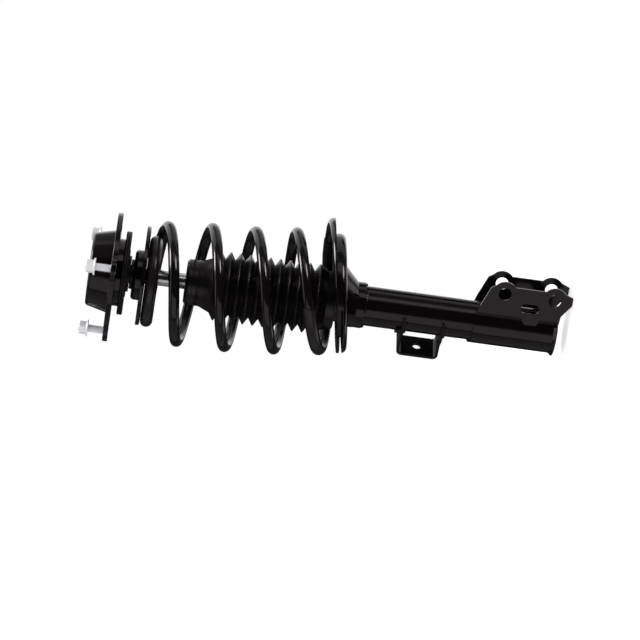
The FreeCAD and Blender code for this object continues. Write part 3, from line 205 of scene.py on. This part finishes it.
def hung_round(name, material, first, last, ends):
    """A cloth swept round the strut from a line whose ends have a distance from it and a height."""
    bm = bmesh.new()
    line = [bm.verts.new(outward(first) * away + Vector((0, 0, high))) for away, high in ends]
    line.append(bm.edges.new(line))
    bmesh.ops.spin(bm, geom=line, cent=(0, 0, 0), axis=(0, 0, 1), angle=math.radians(last - first), steps=24)
    seen_in_gloss(bm, name, material)


for name, first, last, high, tone in PAINTED_REFLECTION_CURTAINS:
    hung_round(name, painted_reflection_glow(name, tone), first, last, ((CURTAIN_R, CURTAIN_LOW), (CURTAIN_R, high)))

# A dark glowing cloth on the ground in front, seen only in gloss: a painted dark reflection for
# gloss that looks down and towards the camera.
CLOTH_IN_R = 0.02
hung_round("ground_cloth_painted_reflection", bpy.data.materials["front_curtain_painted_reflection"], -95, 90,
           ((CLOTH_IN_R, CURTAIN_LOW), (CURTAIN_R, CURTAIN_LOW)))


def hang(lamp, name, spot, away):
    """Hang a lamp, unseen by the camera, so that it shines back along a direction."""
    made = bpy.data.objects.new(name, lamp)
    made.location = spot
    made.rotation_mode = "QUATERNION"
    made.rotation_quaternion = (-away).to_track_quat("-Z", "Y")
    made.visible_camera = False
    scene.collection.objects.link(made)
    return made


# Soft boxes: angle round the strut, how wide they look in degrees, the heights of their ends, and
# how bright they look.
BOX_AWAY = 1.6
BOXES = (
    ("upper_box", 50, 19, -1.6, 0.35, 0.7),
    ("rear_box", 114, 56, -1.6, 0.1, 0.35),
    ("lower_box", -45, 42, -1.6, 1.1, 0.54))
for name, turn, width, low, high, bright in BOXES:
    wide = 2 * BOX_AWAY * math.tan(math.radians(width / 2))
    lamp = bpy.data.lights.new(name, "AREA")
    lamp.shape = "RECTANGLE"
    lamp.size = wide
    lamp.size_y = high - low
    lamp.energy = bright * math.pi * wide * (high - low)
    hang(lamp, name, outward(turn) * BOX_AWAY + Vector((0, 0, (low + high) / 2)), outward(turn))

# Two black cards beside the strut, seen only in gloss: they cast no shadow and light nothing, and
# paint dark reflections where the rear box would show, on the link bracket's web and on the tube
# behind the knuckle bracket's slot. Each has its distance along that box's line of sight, its shift
# across it, its height, width and depth.
CARD_TURN = 100
DARK_REFLECTION_CARDS = (
    ("web_card_painted_dark_reflection", 0.3, 0.067, -0.42, 0.115, 0.2),
    ("slot_card_painted_dark_reflection", 0.3, -0.02, -0.625, 0.14, 0.15))
ahead = outward(CARD_TURN)
across = Vector((-ahead.y, ahead.x, 0))
black = painted_reflection_glow("black_card_painted_dark_reflection", 0.01)
for name, out, shift, height, wide, tall in DARK_REFLECTION_CARDS:
    place = ahead * out + across * shift + Vector((0, 0, height))
    turned = Matrix((
        (across.x, 0, ahead.x, place.x), (across.y, 0, ahead.y, place.y),
        (0, 1, 0, place.z), (0, 0, 0, 1)))
    bm = bmesh.new()
    bmesh.ops.create_grid(bm, x_segments=1, y_segments=1, size=0.5,
                          matrix=turned @ Matrix.Diagonal((wide, tall, 1, 1)))
    seen_in_gloss(bm, name, black)

# Two bare flash heads that only gloss sees, one high on the mount's side and one low on the
# knuckle's side. They draw the thin white lines along the spring's coils. Each has its angle round
# the strut and over the floor, its width, and how bright it looks.
FLASH_AWAY = 2.0
FLASH_FROM = Vector((0, 0, -0.17))
FLASHES = (
    ("left_flash", 78, 69, 0.85, 15.0),
    ("right_flash", 48, -31, 0.75, 10.0))
for name, turn, rise, wide, bright in FLASHES:
    rise = math.radians(rise)
    away = outward(turn) * math.cos(rise) + Vector((0, 0, math.sin(rise)))
    lamp = bpy.data.lights.new(name, "AREA")
    lamp.shape = "DISK"
    lamp.size = wide
    lamp.energy = bright * math.pi * math.pi * wide * wide / 4
    head = hang(lamp, name, FLASH_FROM + away * FLASH_AWAY, away)
    head.visible_diffuse = False
    head.visible_transmission = False

# Upper mount pressings
# Two steel pressings, 2 mm thick, nested and held together by the studs: the cup above and the
# housing below. They are dipped and stoved in black enamel, as are the seats, tube and brackets.
MM = 0.001
# A black finish's reflections are a shade pinker than the light.
GLOSS_TINT = "#fff4fd"
# A noise pattern seldom leaves this span.
NOISE_SPAN = (0.3, 0.7)


def new_finish(name):
    """A finish to build on: its material, node tree, shader and Object coordinates."""
    made = bpy.data.materials.new(name)
    made.use_nodes = True
    tree = made.node_tree
    return made, tree, tree.nodes["Principled BSDF"], add(tree, "TexCoord").outputs["Object"]


def mottle(tree, skin, pattern, dark, light, gloss, span=(0.0, 1.0)):
    """Let a pattern carry a finish from its dark tone to its light one, and its roughness along."""
    tone = add(tree, "Mix", {"data_type": "RGBA", 6: colour(dark), 7: colour(light)}, {0: pattern})
    tree.links.new(tone.outputs[2], skin.inputs["Base Color"])
    shine = add(tree, "MapRange", {"From Min": span[0], "From Max": span[1], "To Min": gloss[0],
                                   "To Max": gloss[1]}, {"Value": pattern})
    tree.links.new(shine.outputs[0], skin.inputs["Roughness"])


def new_paint(name, light, dark, mottled, peel, depth, gloss, edge):
    """A stoved black finish: a slight mottle, orange peel, and paint drawn thin over rounded edges.
    The mottle and peel have their widths, the peel its depth and the edge its radius, in mm."""
    made, tree, skin, where = new_finish(name)
    cloud = add(tree, "TexNoise", {"Scale": 1 / (mottled * MM), "Detail": 4.0, "Roughness": 0.6},
                {"Vector": where})
    mottle(tree, skin, cloud.outputs["Fac"], dark, light, gloss, NOISE_SPAN)
    skin.inputs["IOR"].default_value = 1.5
    skin.inputs["Specular Tint"].default_value = colour(GLOSS_TINT)
    waves = add(tree, "TexNoise", {"Scale": 1 / (peel * MM), "Detail": 1.0}, {"Vector": where})
    soft = add(tree, "Bevel", {"samples": 4, "Radius": edge * MM})
    bump = add(tree, "Bump", {"Strength": 1.0, "Distance": depth * MM},
               {"Height": waves.outputs["Fac"], "Normal": soft.outputs[0]})
    tree.links.new(bump.outputs[0], skin.inputs["Normal"])
    return made


def dress(material, *nodes):
    """Give CAD nodes their finish."""
    for node in nodes:
        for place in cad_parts[node].material_slots:
            place.material = material


# Stoved enamel on pressed steel: waves about 2 mm apart that only ruffle the reflections.
enamel = new_paint("stoved_black_enamel", "#0b080a", "#050304", 22, 2.2, 0.004, (0.12, 0.2), 0.6)
dress(enamel, "mount_top_shell", "mount_bottom_shell")

# Mount studs
# Three M10 studs of zinc-plated steel, with rolled threads, a tapered tip, and a flat head pressed
# up through the plates.
STUD_R = 5.0
STUD_ROOT_R = 4.15
STUD_PITCH = 1.5
STUD_TOP = 31.5
STUD_CIRCLE = 79.0
STUD_ANGLES = (71.5, 180.0, -71.5)
CREST_FROM = 0.6
CREST_TO = 0.8
THREAD_STEPS = 20
THREAD_RUN_OUT = 0.8
TAPER = (4.7, 3.7)
TAPER_LONG = 1.0
SHANK_TOP = 0.4
PLATE_LOW = -4.0
HEAD_R = 8.0
HEAD_T = 2.5
HEAD_EDGE = 0.5
HEAD_ANGLE = 1.2


def soften(bm, width, segments=2, over=30):
    """Round every edge that turns by more than so many degrees."""
    sharp = [e for e in bm.edges if len(e.link_faces) == 2 and e.calc_face_angle() > math.radians(over)]
    bmesh.ops.bevel(bm, geom=sharp, offset=width * MM, offset_type="OFFSET", segments=segments, profile=0.5,
                    affect="EDGES", clamp_overlap=True, material=-1)


def cut(bm, *planes):
    """Take off what lies past each plane, a point and the way that it faces, and close the cuts."""
    for place, way in planes:
        bmesh.ops.bisect_plane(bm, geom=bm.verts[:] + bm.edges[:] + bm.faces[:], dist=1e-7,
                               plane_co=place, plane_no=way, clear_outer=True)
    bmesh.ops.holes_fill(bm, edges=[e for e in bm.edges if e.is_boundary], sides=0)


def join(bm, other):
    """Add a finished mesh to another."""
    mesh = bpy.data.meshes.new("joined")
    other.to_mesh(mesh)
    other.free()
    bm.from_mesh(mesh)
    bpy.data.meshes.remove(mesh)


def piece(bm, name, material, body, slot, *nodes, smooth=40):
    """Turn a finished mesh into a piece that rides on a body and stands for CAD nodes."""
    mesh = bpy.data.meshes.new(name)
    bm.to_mesh(mesh)
    bm.free()
    mesh.materials.append(material)
    mesh.shade_smooth()
    mesh.set_sharp_from_angle(angle=math.radians(smooth))
    made = bpy.data.objects.new(name, mesh)
    scene.collection.objects.link(made)
    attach(made, body)
    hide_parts(*nodes)
    return made


# Bright zinc plate on steel, passivated: a pale, slightly blue metal under a thin milky film, so it
# shines softly and stays light from every side.
zinc, tree, skin, where = new_finish("bright_zinc_plate")
skin.inputs["Metallic"].default_value = 0.3
cloud = add(tree, "TexNoise", {"Scale": 1 / (4 * MM), "Detail": 5.0}, {"Vector": where})
mottle(tree, skin, cloud.outputs["Fac"], "#e3e3e8", "#f7f7fa", (0.3, 0.5))
grain = add(tree, "TexNoise", {"Scale": 1 / (0.5 * MM), "Detail": 2.0}, {"Vector": where})
soft = add(tree, "Bevel", {"samples": 4, "Radius": 0.4 * MM})
bump = add(tree, "Bump", {"Strength": 1.0, "Distance": 0.01 * MM},
           {"Height": grain.outputs["Fac"], "Normal": soft.outputs[0]})
tree.links.new(bump.outputs[0], skin.inputs["Normal"])

bm = bmesh.new()
for turn in STUD_ANGLES:
    stud = bmesh.new()
    turns = math.ceil(STUD_TOP / STUD_PITCH) + 1
    thread = [(STUD_ROOT_R, 0.0), (STUD_R, CREST_FROM), (STUD_R, CREST_TO), (STUD_ROOT_R, STUD_PITCH)]
    line = [stud.verts.new((r * MM, 0, (z - STUD_PITCH) * MM)) for r, z in thread]
    edges = [stud.edges.new(pair) for pair in zip(line, line[1:])]
    bmesh.ops.spin(stud, geom=line + edges, cent=(0, 0, 0), axis=(0, 0, 1),
                   dvec=(0, 0, STUD_PITCH * MM / THREAD_STEPS),
                   angle=math.radians(360 * turns), steps=THREAD_STEPS * turns)
    bmesh.ops.remove_doubles(stud, verts=stud.verts, dist=0.005 * MM)
    cut(stud, ((0, 0, 0), (0, 0, -1)), ((0, 0, (STUD_TOP - THREAD_RUN_OUT) * MM), (0, 0, 1)))
    for low, high, low_r, high_r, around in (
            (STUD_TOP - TAPER_LONG, STUD_TOP, *TAPER, 32),
            (PLATE_LOW, SHANK_TOP, STUD_R, STUD_R, 40),
            (PLATE_LOW - HEAD_T, PLATE_LOW, HEAD_R, HEAD_R, 48)):
        bmesh.ops.create_cone(stud, cap_ends=True, segments=around, radius1=low_r * MM,
                              radius2=high_r * MM, depth=(high - low) * MM,
                              matrix=Matrix.Translation((0, 0, (low + high) / 2 * MM)))
    head = [e for e in stud.edges if len(e.link_faces) == 2 and e.calc_face_angle() > HEAD_ANGLE
            and e.verts[0].co.z < PLATE_LOW * MM]
    bmesh.ops.bevel(stud, geom=head, offset=HEAD_EDGE * MM, offset_type="OFFSET", segments=2, profile=0.5,
                    affect="EDGES", material=-1)
    centre = Matrix.Rotation(math.radians(turn), 3, "Z") @ Vector((STUD_CIRCLE * MM, 0, 0))
    bmesh.ops.translate(stud, verts=stud.verts, vec=centre)
    bmesh.ops.recalc_face_normals(stud, faces=stud.faces)
    join(bm, stud)
piece(bm, "studs", zinc, "mount", "zinc_steel", "mount_studs", smooth=35)

# Stud nuts
# Three flanged hexagon nuts, zinc plated, run part of the way down the studs. They keep the shape
# that the CAD gives them.
dress(zinc, "stud_nuts")

# Mount rubber and dust ring
# The rubber that fills the cup and housing round the bearing, moulded in one, and the loose ring
# under the housing that keeps dust out of the bearing. Outlines are radii and heights in mm.
CUSHION = [
    (30.1, -11.4), (40.7, -11.4), (40.7, -1.0), (50.4, -1.0), (46.0, 16.0), (41.0, 20.0),
    (20.0, 20.0), (20.0, 2.3), (30.1, 2.3)]
DUST_RING = [
    (30.3, -13.8), (52.3, -13.8), (53.5, -15.0), (53.5, -16.6), (52.6, -17.2), (53.5, -17.8),
    (53.5, -19.8), (52.3, -21.0), (34.0, -21.0), (33.0, -20.2), (30.3, -20.2)]


def lathe(points, steps=160, closed=True):
    """An outline of radii and heights, turned right round the strut's line."""
    bm = bmesh.new()
    line = [bm.verts.new((r * MM, 0, z * MM)) for r, z in points]
    edges = [bm.edges.new(pair) for pair in zip(line, line[1:] + line[:1] if closed else line[1:])]
    bmesh.ops.spin(bm, geom=line + edges, cent=(0, 0, 0), axis=(0, 0, 1), angle=math.tau, steps=steps,
                   use_merge=True)
    bmesh.ops.remove_doubles(bm, verts=bm.verts, dist=0.01 * MM)
    bmesh.ops.recalc_face_normals(bm, faces=bm.faces)
    return bm


def new_rubber(name, light, dark, rough, grit, depth):
    """Black rubber: matt, with a dull bloom in patches, and a grain of a width and depth in mm."""
    made, tree, skin, where = new_finish(name)
    bloom = add(tree, "TexNoise", {"Scale": 1 / (15 * MM), "Detail": 5.0, "Roughness": 0.65},
                {"Vector": where})
    mottle(tree, skin, bloom.outputs["Fac"], dark, light, (rough - 0.06, rough + 0.06), NOISE_SPAN)
    skin.inputs["IOR"].default_value = 1.5
    skin.inputs["Specular Tint"].default_value = colour(GLOSS_TINT)
    grain = add(tree, "TexNoise", {"Scale": 1 / (grit * MM), "Detail": 3.0}, {"Vector": where})
    bump = add(tree, "Bump", {"Strength": 1.0, "Distance": depth * MM}, {"Height": grain.outputs["Fac"]})
    tree.links.new(bump.outputs[0], skin.inputs["Normal"])
    return made


# Moulded rubber: matt, with a grain of under a millimetre from the mould.
rubber = new_rubber("moulded_rubber", "#120f11", "#090708", 0.5, 0.8, 0.02)
bm = lathe(CUSHION)
soften(bm, 1.2, 3)
piece(bm, "mount_cushion", rubber, "mount", "black_rubber", "mount_rubber")
bm = lathe(DUST_RING)
soften(bm, 0.35, 2, 20)
piece(bm, "dust_seal", rubber, "mount", "black_rubber", "dust_ring")

# Strut bearing
# Ball bearing in a pressed steel cup: races and balls ground bright, cage moulded, and the core,
# the washers and the spacer on the rod's neck of blackened steel.

# Ground steel: a grey mirror with faint marks about 1.5 mm wide.
steel, tree, skin, where = new_finish("ground_bearing_steel")
skin.inputs["Metallic"].default_value = 1.0
marks = add(tree, "TexNoise", {"Scale": 1 / (1.5 * MM), "Detail": 4.0}, {"Vector": where})
mottle(tree, skin, marks.outputs["Fac"], "#8f9094", "#b9babd", (0.12, 0.28))

# Blackened steel: oxide a micron thick over turned metal, oiled, so dark but metallic.
oxide, tree, skin, where = new_finish("oil_blackened_steel")
skin.inputs["Metallic"].default_value = 0.8
cloud = add(tree, "TexNoise", {"Scale": 1 / (6 * MM), "Detail": 5.0}, {"Vector": where})
mottle(tree, skin, cloud.outputs["Fac"], "#1f1e20", "#353337", (0.25, 0.5))

# Glass-filled nylon: moulded black, dull, with a fine mottle from the fibres at the surface.
nylon = new_rubber("glass_filled_nylon", "#252225", "#171517", 0.42, 0.5, 0.012)
dress(steel, "bearing_outer_race", "bearing_inner_race", "bearing_balls")
dress(nylon, "bearing_cage")
dress(oxide, "bearing_core", "rod_washer", "neck_spacer", "seat_washer")

# Piston rod and its nut
# Hardened rod, ground and hard chromed, held in the bearing by a zinc-plated nut. Both keep the
# shape that the CAD gives them.

# Hard chrome: a white mirror, dulled a little by grinding marks that run round the rod, drawn
# 0.8 mm apart so that they show at all.
MARKS_ROUND = (0.02, 0.02, 1.0)
chrome, tree, skin, where = new_finish("hard_chrome_on_ground_rod")
skin.inputs["Metallic"].default_value = 1.0
run = add(tree, "Mapping", {"Scale": MARKS_ROUND}, {"Vector": where})
marks = add(tree, "TexNoise", {"Scale": 1 / (0.8 * MM), "Detail": 3.0}, {"Vector": run.outputs[0]})
mottle(tree, skin, marks.outputs["Fac"], "#cfced0", "#e6e5e7", (0.14, 0.26))
dress(chrome, "piston_rod")
dress(zinc, "rod_nut")

# Upper spring seat
# Steel pressing clamped on the rod's shoulder, with a turned-up rim. It is enamelled like the
# mount.
dress(enamel, "upper_spring_seat")

# Coil spring
# Round spring wire, 14 mm thick, wound right-handed with a small end coil on top, wide open turns,
# and an end turn that flares to the lean of the lower pan, with its tip ground flat on the pad. It
# is shot blasted, then powder coated. Turns are counted downwards, and sizes are in mm.
WIRE_R = 7.0
WIRE_STEPS = 90
WIRE_END = 0.93
FIRST_TURN = -1.2
LAST_TURN = 4.2
TOP_Z = 52.5
LOW_Z = 280.09
EYE_R = 45.4
SHOULDER_R = 69.3
SHOULDER_TURNS = 0.5
BODY_R = 74.6
END_R = 86.0
TIP_R = 71.0
FLARE_FROM = 3.5
FLARE_TO = 4.0
TOP_RAMP_FROM = -0.48
END_RAMP_FROM = 3.45
END_RAMP_TO = 3.8
# The first open turn sags and the last one is lifted, each most at its turn and within its reach.
FIRST_SAG = 1.7
FIRST_SAG_TURN = 0.24
FIRST_SAG_REACH = 0.41
LAST_RISE = 6.0
LAST_RISE_TURN = 3.26
LAST_RISE_REACH = 0.61
TIP_DROP = 10.0
# The coil's line starts behind the strut's, and bows forward between two depths to a slope.
LINE_BACK = -3.2
LEAD = 20
BOW = 0.163
BOW_FROM = 95.4
BOW_TO = 254.7
LEAN = math.radians(8.2)


def hump(turn, middle, reach):
    """1 at its middle turn, easing to 0 at its reach."""
    return (1 + math.cos(math.pi * min(1.0, abs(turn - middle) / reach))) / 2


def coil_radius(turn):
    """The coil's radius at a turn: a small top coil, a shoulder, the body, the flared end, the tip."""
    if turn < 0:
        return SHOULDER_R + (SHOULDER_R - EYE_R) * turn
    if turn < SHOULDER_TURNS:
        return SHOULDER_R + (BODY_R - SHOULDER_R) * math.sin(math.pi / 2 * turn / SHOULDER_TURNS)
    if turn < FLARE_FROM:
        return BODY_R
    if turn < FLARE_TO:
        return BODY_R + (END_R - BODY_R) * (1 - hump(turn, FLARE_FROM, FLARE_TO - FLARE_FROM))
    return TIP_R + (END_R - TIP_R) * hump(turn, FLARE_TO, LAST_TURN - FLARE_TO)


def eased(turn, low, high):
    """How far a slope that eases in between two turns has run."""
    if turn <= low:
        return 0.0
    if turn >= high:
        return (high - low) / 2 + turn - high
    return (turn - low) ** 2 / (2 * (high - low))


def coil_depth(turn):
    """How deep the wire's centre line lies under the mount's plate at a turn."""
    run = [eased(t, TOP_RAMP_FROM, 0.0) - eased(t, END_RAMP_FROM, END_RAMP_TO) for t in (turn, LAST_TURN)]
    deep = TOP_Z + run[0] / run[1] * (LOW_Z - TOP_Z)
    deep += FIRST_SAG * hump(turn, FIRST_SAG_TURN, FIRST_SAG_REACH)
    deep -= LAST_RISE * hump(turn, LAST_RISE_TURN, LAST_RISE_REACH)
    down = max(0.0, (turn - END_RAMP_TO) / (LAST_TURN - END_RAMP_TO))
    return deep + TIP_DROP * (down + math.sin(math.pi / 2 * down)) / 2


def coil_point(turn):
    """A point on the wire's centre line, in metres."""
    deep = coil_depth(turn)
    run = min(max(deep - BOW_FROM, 0.0), BOW_TO - BOW_FROM)
    slope = BOW * run / (BOW_TO - BOW_FROM)
    shift = LINE_BACK + slope * run / 2 + BOW * max(0.0, deep - BOW_TO)
    if deep < BOW_FROM:
        shift = LINE_BACK * min(1.0, max(0.0, (deep - TOP_Z) / LEAD))
    lean = LEAN * slope / BOW
    angle = -math.tau * turn
    out = coil_radius(turn) * math.cos(angle)
    return Vector((shift + out * math.cos(lean), coil_radius(turn) * math.sin(angle),
                   -deep + out * math.sin(lean))) * MM


def swept(first, last, steps, thick, share):
    """A round bar along the coil between two turns, with a share of its thickness at each step."""
    curve = bpy.data.curves.new("line", "CURVE")
    curve.dimensions = "3D"
    curve.bevel_depth = thick * MM
    curve.bevel_resolution = 8
    curve.use_fill_caps = True
    spline = curve.splines.new("POLY")
    spline.points.add(steps)
    for k, point in enumerate(spline.points):
        point.co = (*coil_point(first + (last - first) * k / steps), 1.0)
        point.radius = share(k)
    holder = bpy.data.objects.new("line", curve)
    mesh = bpy.data.meshes.new_from_object(holder)
    bpy.data.objects.remove(holder)
    bm = bmesh.new()
    bm.from_mesh(mesh)
    bmesh.ops.remove_doubles(bm, verts=bm.verts, dist=0.001 * MM)
    bmesh.ops.recalc_face_normals(bm, faces=bm.faces)
    return bm


# Epoxy powder coat: thicker than dip paint, with rounder waves 3 mm apart and a hard even gloss.
powder = new_paint("epoxy_powder_coat", "#100c0f", "#080608", 30, 3.0, 0.006, (0.11, 0.17), 0.3)

# The lower pan's own frame, and the plane in it, just over the pad, that the tip is ground to.
PAN_X = 12.3
PAN_Z = -297.6
GROUND_Z = 10.1
PAN_AT = Matrix.Translation((PAN_X * MM, 0, PAN_Z * MM)) @ Matrix.Rotation(-LEAN, 4, "Y")

# Past this turn the wire lies still on the pad and goes with the pan, and the rest rides on the
# rod. The two meet under the end sleeve.
SPLIT_TURN = 3.7
STROKE = 0.119
SPRING_ANCHOR = (0, 0, -0.0525)
SPRING_KEEP = 1 - STROKE / (SPRING_ANCHOR[2] - coil_point(SPLIT_TURN).z)
for name, body, first, last in (
        ("spring_wire", "rod_group", FIRST_TURN, SPLIT_TURN),
        ("spring_wire_end", "strut_body", SPLIT_TURN, LAST_TURN)):
    steps = round((last - first) * WIRE_STEPS)
    end = steps if last == LAST_TURN else 0
    bm = swept(first, last, steps, WIRE_R, lambda k: WIRE_END if k == end else 1.0)
    if last == LAST_TURN:
        cut(bm, (PAN_AT @ Vector((0, 0, GROUND_Z * MM)), PAN_AT.to_3x3() @ Vector((0, 0, -1))))
    part = piece(bm, name, powder, body, "spring_paint", "coil_spring")
    if body == "rod_group":
        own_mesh(part)

# Spring sleeve
# Rubber hose pushed over the top coil to stop it knocking on the seat, with four raised rings at
# its open end.
SLEEVE_T = 1.0
SLEEVE_END = -0.1
SLEEVE_STEPS = 400
SLEEVE_CUT = 0.94
RINGS = 4
RINGS_OVER = 0.028
RING_DEEP = 0.055
# Extruded hose: smoother than moulded rubber, so it has a soft sheen.
hose = new_rubber("extruded_rubber_hose", "#1a1618", "#110e10", 0.3, 1.2, 0.008)


def hose_share(k):
    """Grooved between the raised rings near the open end, and drawn in at both cut ends."""
    if k in (0, SLEEVE_STEPS):
        return SLEEVE_CUT
    left = (SLEEVE_END - FIRST_TURN) * (1 - k / SLEEVE_STEPS)
    if left < RINGS_OVER:
        return 1.0 - RING_DEEP * (1 - math.cos(math.tau * RINGS * left / RINGS_OVER)) / 2
    return 1.0


bm = swept(FIRST_TURN, SLEEVE_END, SLEEVE_STEPS, WIRE_R + SLEEVE_T, hose_share)
sleeve = piece(bm, "spring_hose", hose, "rod_group", "black_rubber", "spring_sleeve")
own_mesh(sleeve)

# Spring end sleeve
# Thicker hose over the last coil, cut square, that keeps the wire off the pan's edge. It is drawn
# in two, as the wire is.
END_T = 1.1
END_TURNS = (3.25, 3.85)
END_STEPS = 200
END_CUT = 0.95
for name, body, first, last in (
        ("spring_end_hose", "rod_group", END_TURNS[0], SPLIT_TURN),
        ("spring_end_hose_foot", "strut_body", SPLIT_TURN, END_TURNS[1])):
    steps = round((last - first) * END_STEPS)
    end = 0 if body == "rod_group" else steps
    bm = swept(first, last, steps, WIRE_R + END_T, lambda k: END_CUT if k == end else 1.0)
    part = piece(bm, name, hose, body, "black_rubber", "spring_end_sleeve")
    if body == "rod_group":
        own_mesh(part)

# Bump stop
# Cellular urethane stop on the rod, moulded with three lobes that taper towards the tube.

# Urethane foam: pale tan and quite dull, with cells drawn 0.7 mm wide so that they show.
foam, tree, skin, where = new_finish("cellular_urethane")
skin.inputs["Roughness"].default_value = 0.85
cells = add(tree, "TexVoronoi", {"Scale": 1 / (0.7 * MM)}, {"Vector": where})
tone = add(tree, "Mix", {"data_type": "RGBA", 6: colour("#a8905a"), 7: colour("#cdb887")},
           {0: cells.outputs["Distance"]})
tree.links.new(tone.outputs[2], skin.inputs["Base Color"])
bump = add(tree, "Bump", {"Strength": 0.6, "Distance": 0.1 * MM}, {"Height": cells.outputs["Distance"]})
tree.links.new(bump.outputs[0], skin.inputs["Normal"])
STOP_TOP = -97.8
STOP_HOLE = 10.3
STOP_HEAD = 18.5
STOP_WAIST = 17.4
LOBE = 15.5
LOBE_EDGE = 3.0
LOBES = (21.0, 19.5, 18.0)
line = [(STOP_HOLE, STOP_TOP), (STOP_HEAD, STOP_TOP)]
for k, r in enumerate(LOBES):
    high = STOP_TOP - LOBE * k
    line += [(r, high - LOBE_EDGE), (r, high - LOBE + LOBE_EDGE), (STOP_WAIST, high - LOBE)]
line += [(STOP_HOLE, STOP_TOP - len(LOBES) * LOBE)]
bm = lathe(line, 96)
soften(bm, 1.6, 4, 15)
piece(bm, "stop_foam", foam, "rod_group", "foam", "bump_stop")

# Dust boot
# Thin rubber boot, blown in one: a cup round the rod with a shallow band, eleven pleats, and a cuff
# that grips the ring on the tube.
BOOT_TOP = -95.5
BOOT_FOOT = -285.7
BOOT_HOLE = 10.6
BOOT_WALL = 1.5
CUP_R = 29.3
CUP_EDGE = 3.0
CUP_FOOT = -115.3
BAND_TOP = -104.0
BAND_FOOT = -110.8
BAND_DEEP = 0.4
BAND_EDGE = 0.8
PEAK_R = 45.0
PEAK_TOP = -136.1
PEAK_EDGE = 0.5
VALLEY_R = 35.5
PLEAT = 12.78
PLEATS = 11
CUFF_R = 37.5
CUFF_RUN = 11.5
# Blown rubber: the blackest of the rubbers, with a fine grain and a soft sheen on its pleats.
boot_rubber = new_rubber("blown_boot_rubber", "#0f0c0e", "#070506", 0.3, 0.9, 0.012)
line = [
    (BOOT_HOLE, BOOT_TOP), (CUP_R - CUP_EDGE, BOOT_TOP), (CUP_R, BOOT_TOP - CUP_EDGE),
    (CUP_R, BAND_TOP), (CUP_R - BAND_DEEP, BAND_TOP - BAND_EDGE),
    (CUP_R - BAND_DEEP, BAND_FOOT + BAND_EDGE), (CUP_R, BAND_FOOT), (CUP_R, CUP_FOOT)]
for k in range(PLEATS):
    peak = PEAK_TOP - PLEAT * k
    line += [(VALLEY_R, peak + PLEAT / 2), (PEAK_R, peak + PEAK_EDGE), (PEAK_R, peak - PEAK_EDGE)]
line += [(CUFF_R, peak - CUFF_RUN), (CUFF_R, BOOT_FOOT)]
bm = lathe(line, closed=False)
soften(bm, 0.7, 3)
# The shell is open, so its faces may all look inwards here, and they set the side of the wall.
if sum((f.calc_center_median() * Vector((1, 1, 0))).dot(f.normal) for f in bm.faces) < 0:
    bmesh.ops.reverse_faces(bm, faces=bm.faces)
bmesh.ops.solidify(bm, geom=bm.faces[:], thickness=BOOT_WALL * MM)
bmesh.ops.recalc_face_normals(bm, faces=bm.faces)
boot = piece(bm, "pleated_boot", boot_rubber, "strut_body", "black_rubber", "dust_boot", smooth=50)
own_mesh(boot)
dress(nylon, "boot_ring")

# Damper parts inside the tube
# Piston, guide and valve of pressed and sintered iron, the piston's band of nylon and its nut zinc
# plated, the seal of rubber, and the rest of ground steel.

# Sintered iron: dull grey, with open grains drawn 0.6 mm wide so that they show.
sinter, tree, skin, where = new_finish("sintered_iron")
skin.inputs["Metallic"].default_value = 0.9
grains = add(tree, "TexVoronoi", {"Scale": 1 / (0.6 * MM)}, {"Vector": where})
tone = add(tree, "Mix", {"data_type": "RGBA", 6: colour("#4a4745"), 7: colour("#76726e")},
           {0: grains.outputs["Distance"]})
tree.links.new(tone.outputs[2], skin.inputs["Base Color"])
skin.inputs["Roughness"].default_value = 0.55
bump = add(tree, "Bump", {"Strength": 0.5, "Distance": 0.03 * MM}, {"Height": grains.outputs["Distance"]})
tree.links.new(bump.outputs[0], skin.inputs["Normal"])
dress(sinter, "piston", "rod_guide", "base_valve")
dress(steel, "pressure_tube", "rebound_stop", "guide_bush")
dress(zinc, "piston_nut")
dress(nylon, "piston_ring")
dress(rubber, "rod_seal")

# Strut tube
# Drawn steel tube with its cap rolled over the top and a base welded in, enamelled on the outside.
# All three keep the shape that the CAD gives them.
dress(enamel, "strut_tube", "tube_cap", "tube_base")

# Lower spring pan and pad
# Deep pressing on a cone and collar, welded round the tube, and the rubber pad that lies in it. The
# pad fills the dish in front, and behind it is a floor, a wall and a flange that reaches out to the
# pan's edge. The outlines are radii and heights in the pan's own frame.
PAD_STEP_X = -40
PAD_FRONT = [(48.0, 0.3), (68.4, 0.3), (73.0, 4.6), (73.0, 9.8), (48.0, 9.8)]
PAD_REAR = [
    (48.0, 0.3), (68.4, 0.3), (70.9, 2.8), (52.0, 2.8), (52.0, 6.4), (76.3, 6.4), (76.3, 10.0), (48.0, 10.0)]
dress(enamel, "lower_spring_seat")
bm = bmesh.new()
for away, outline in ((-1, PAD_FRONT), (1, PAD_REAR)):
    half = lathe(outline, 144)
    cut(half, ((PAD_STEP_X * MM, 0, 0), (away, 0, 0)))
    soften(half, 0.7, 2, 35)
    join(bm, half)
bmesh.ops.transform(bm, verts=bm.verts, matrix=PAN_AT)
bmesh.ops.recalc_face_normals(bm, faces=bm.faces)
piece(bm, "spring_pad", rubber, "strut_body", "black_rubber", "lower_spring_pad")

# Link and knuckle brackets
# Steel brackets, bent from sheet and welded to the tube before it is enamelled. They keep the shape
# that the CAD gives them, as the weld beads do.
dress(enamel, "link_bracket", "knuckle_bracket")

# Enamel over weld beads: the dip follows the bead's ripples, 1.6 mm apart, so it glints in points.
bead = new_paint("enamel_over_weld_ripples", "#120e11", "#080608", 9, 1.6, 0.35, (0.14, 0.26), 0.4)
dress(bead, "seat_welds", "link_welds", "knuckle_welds")
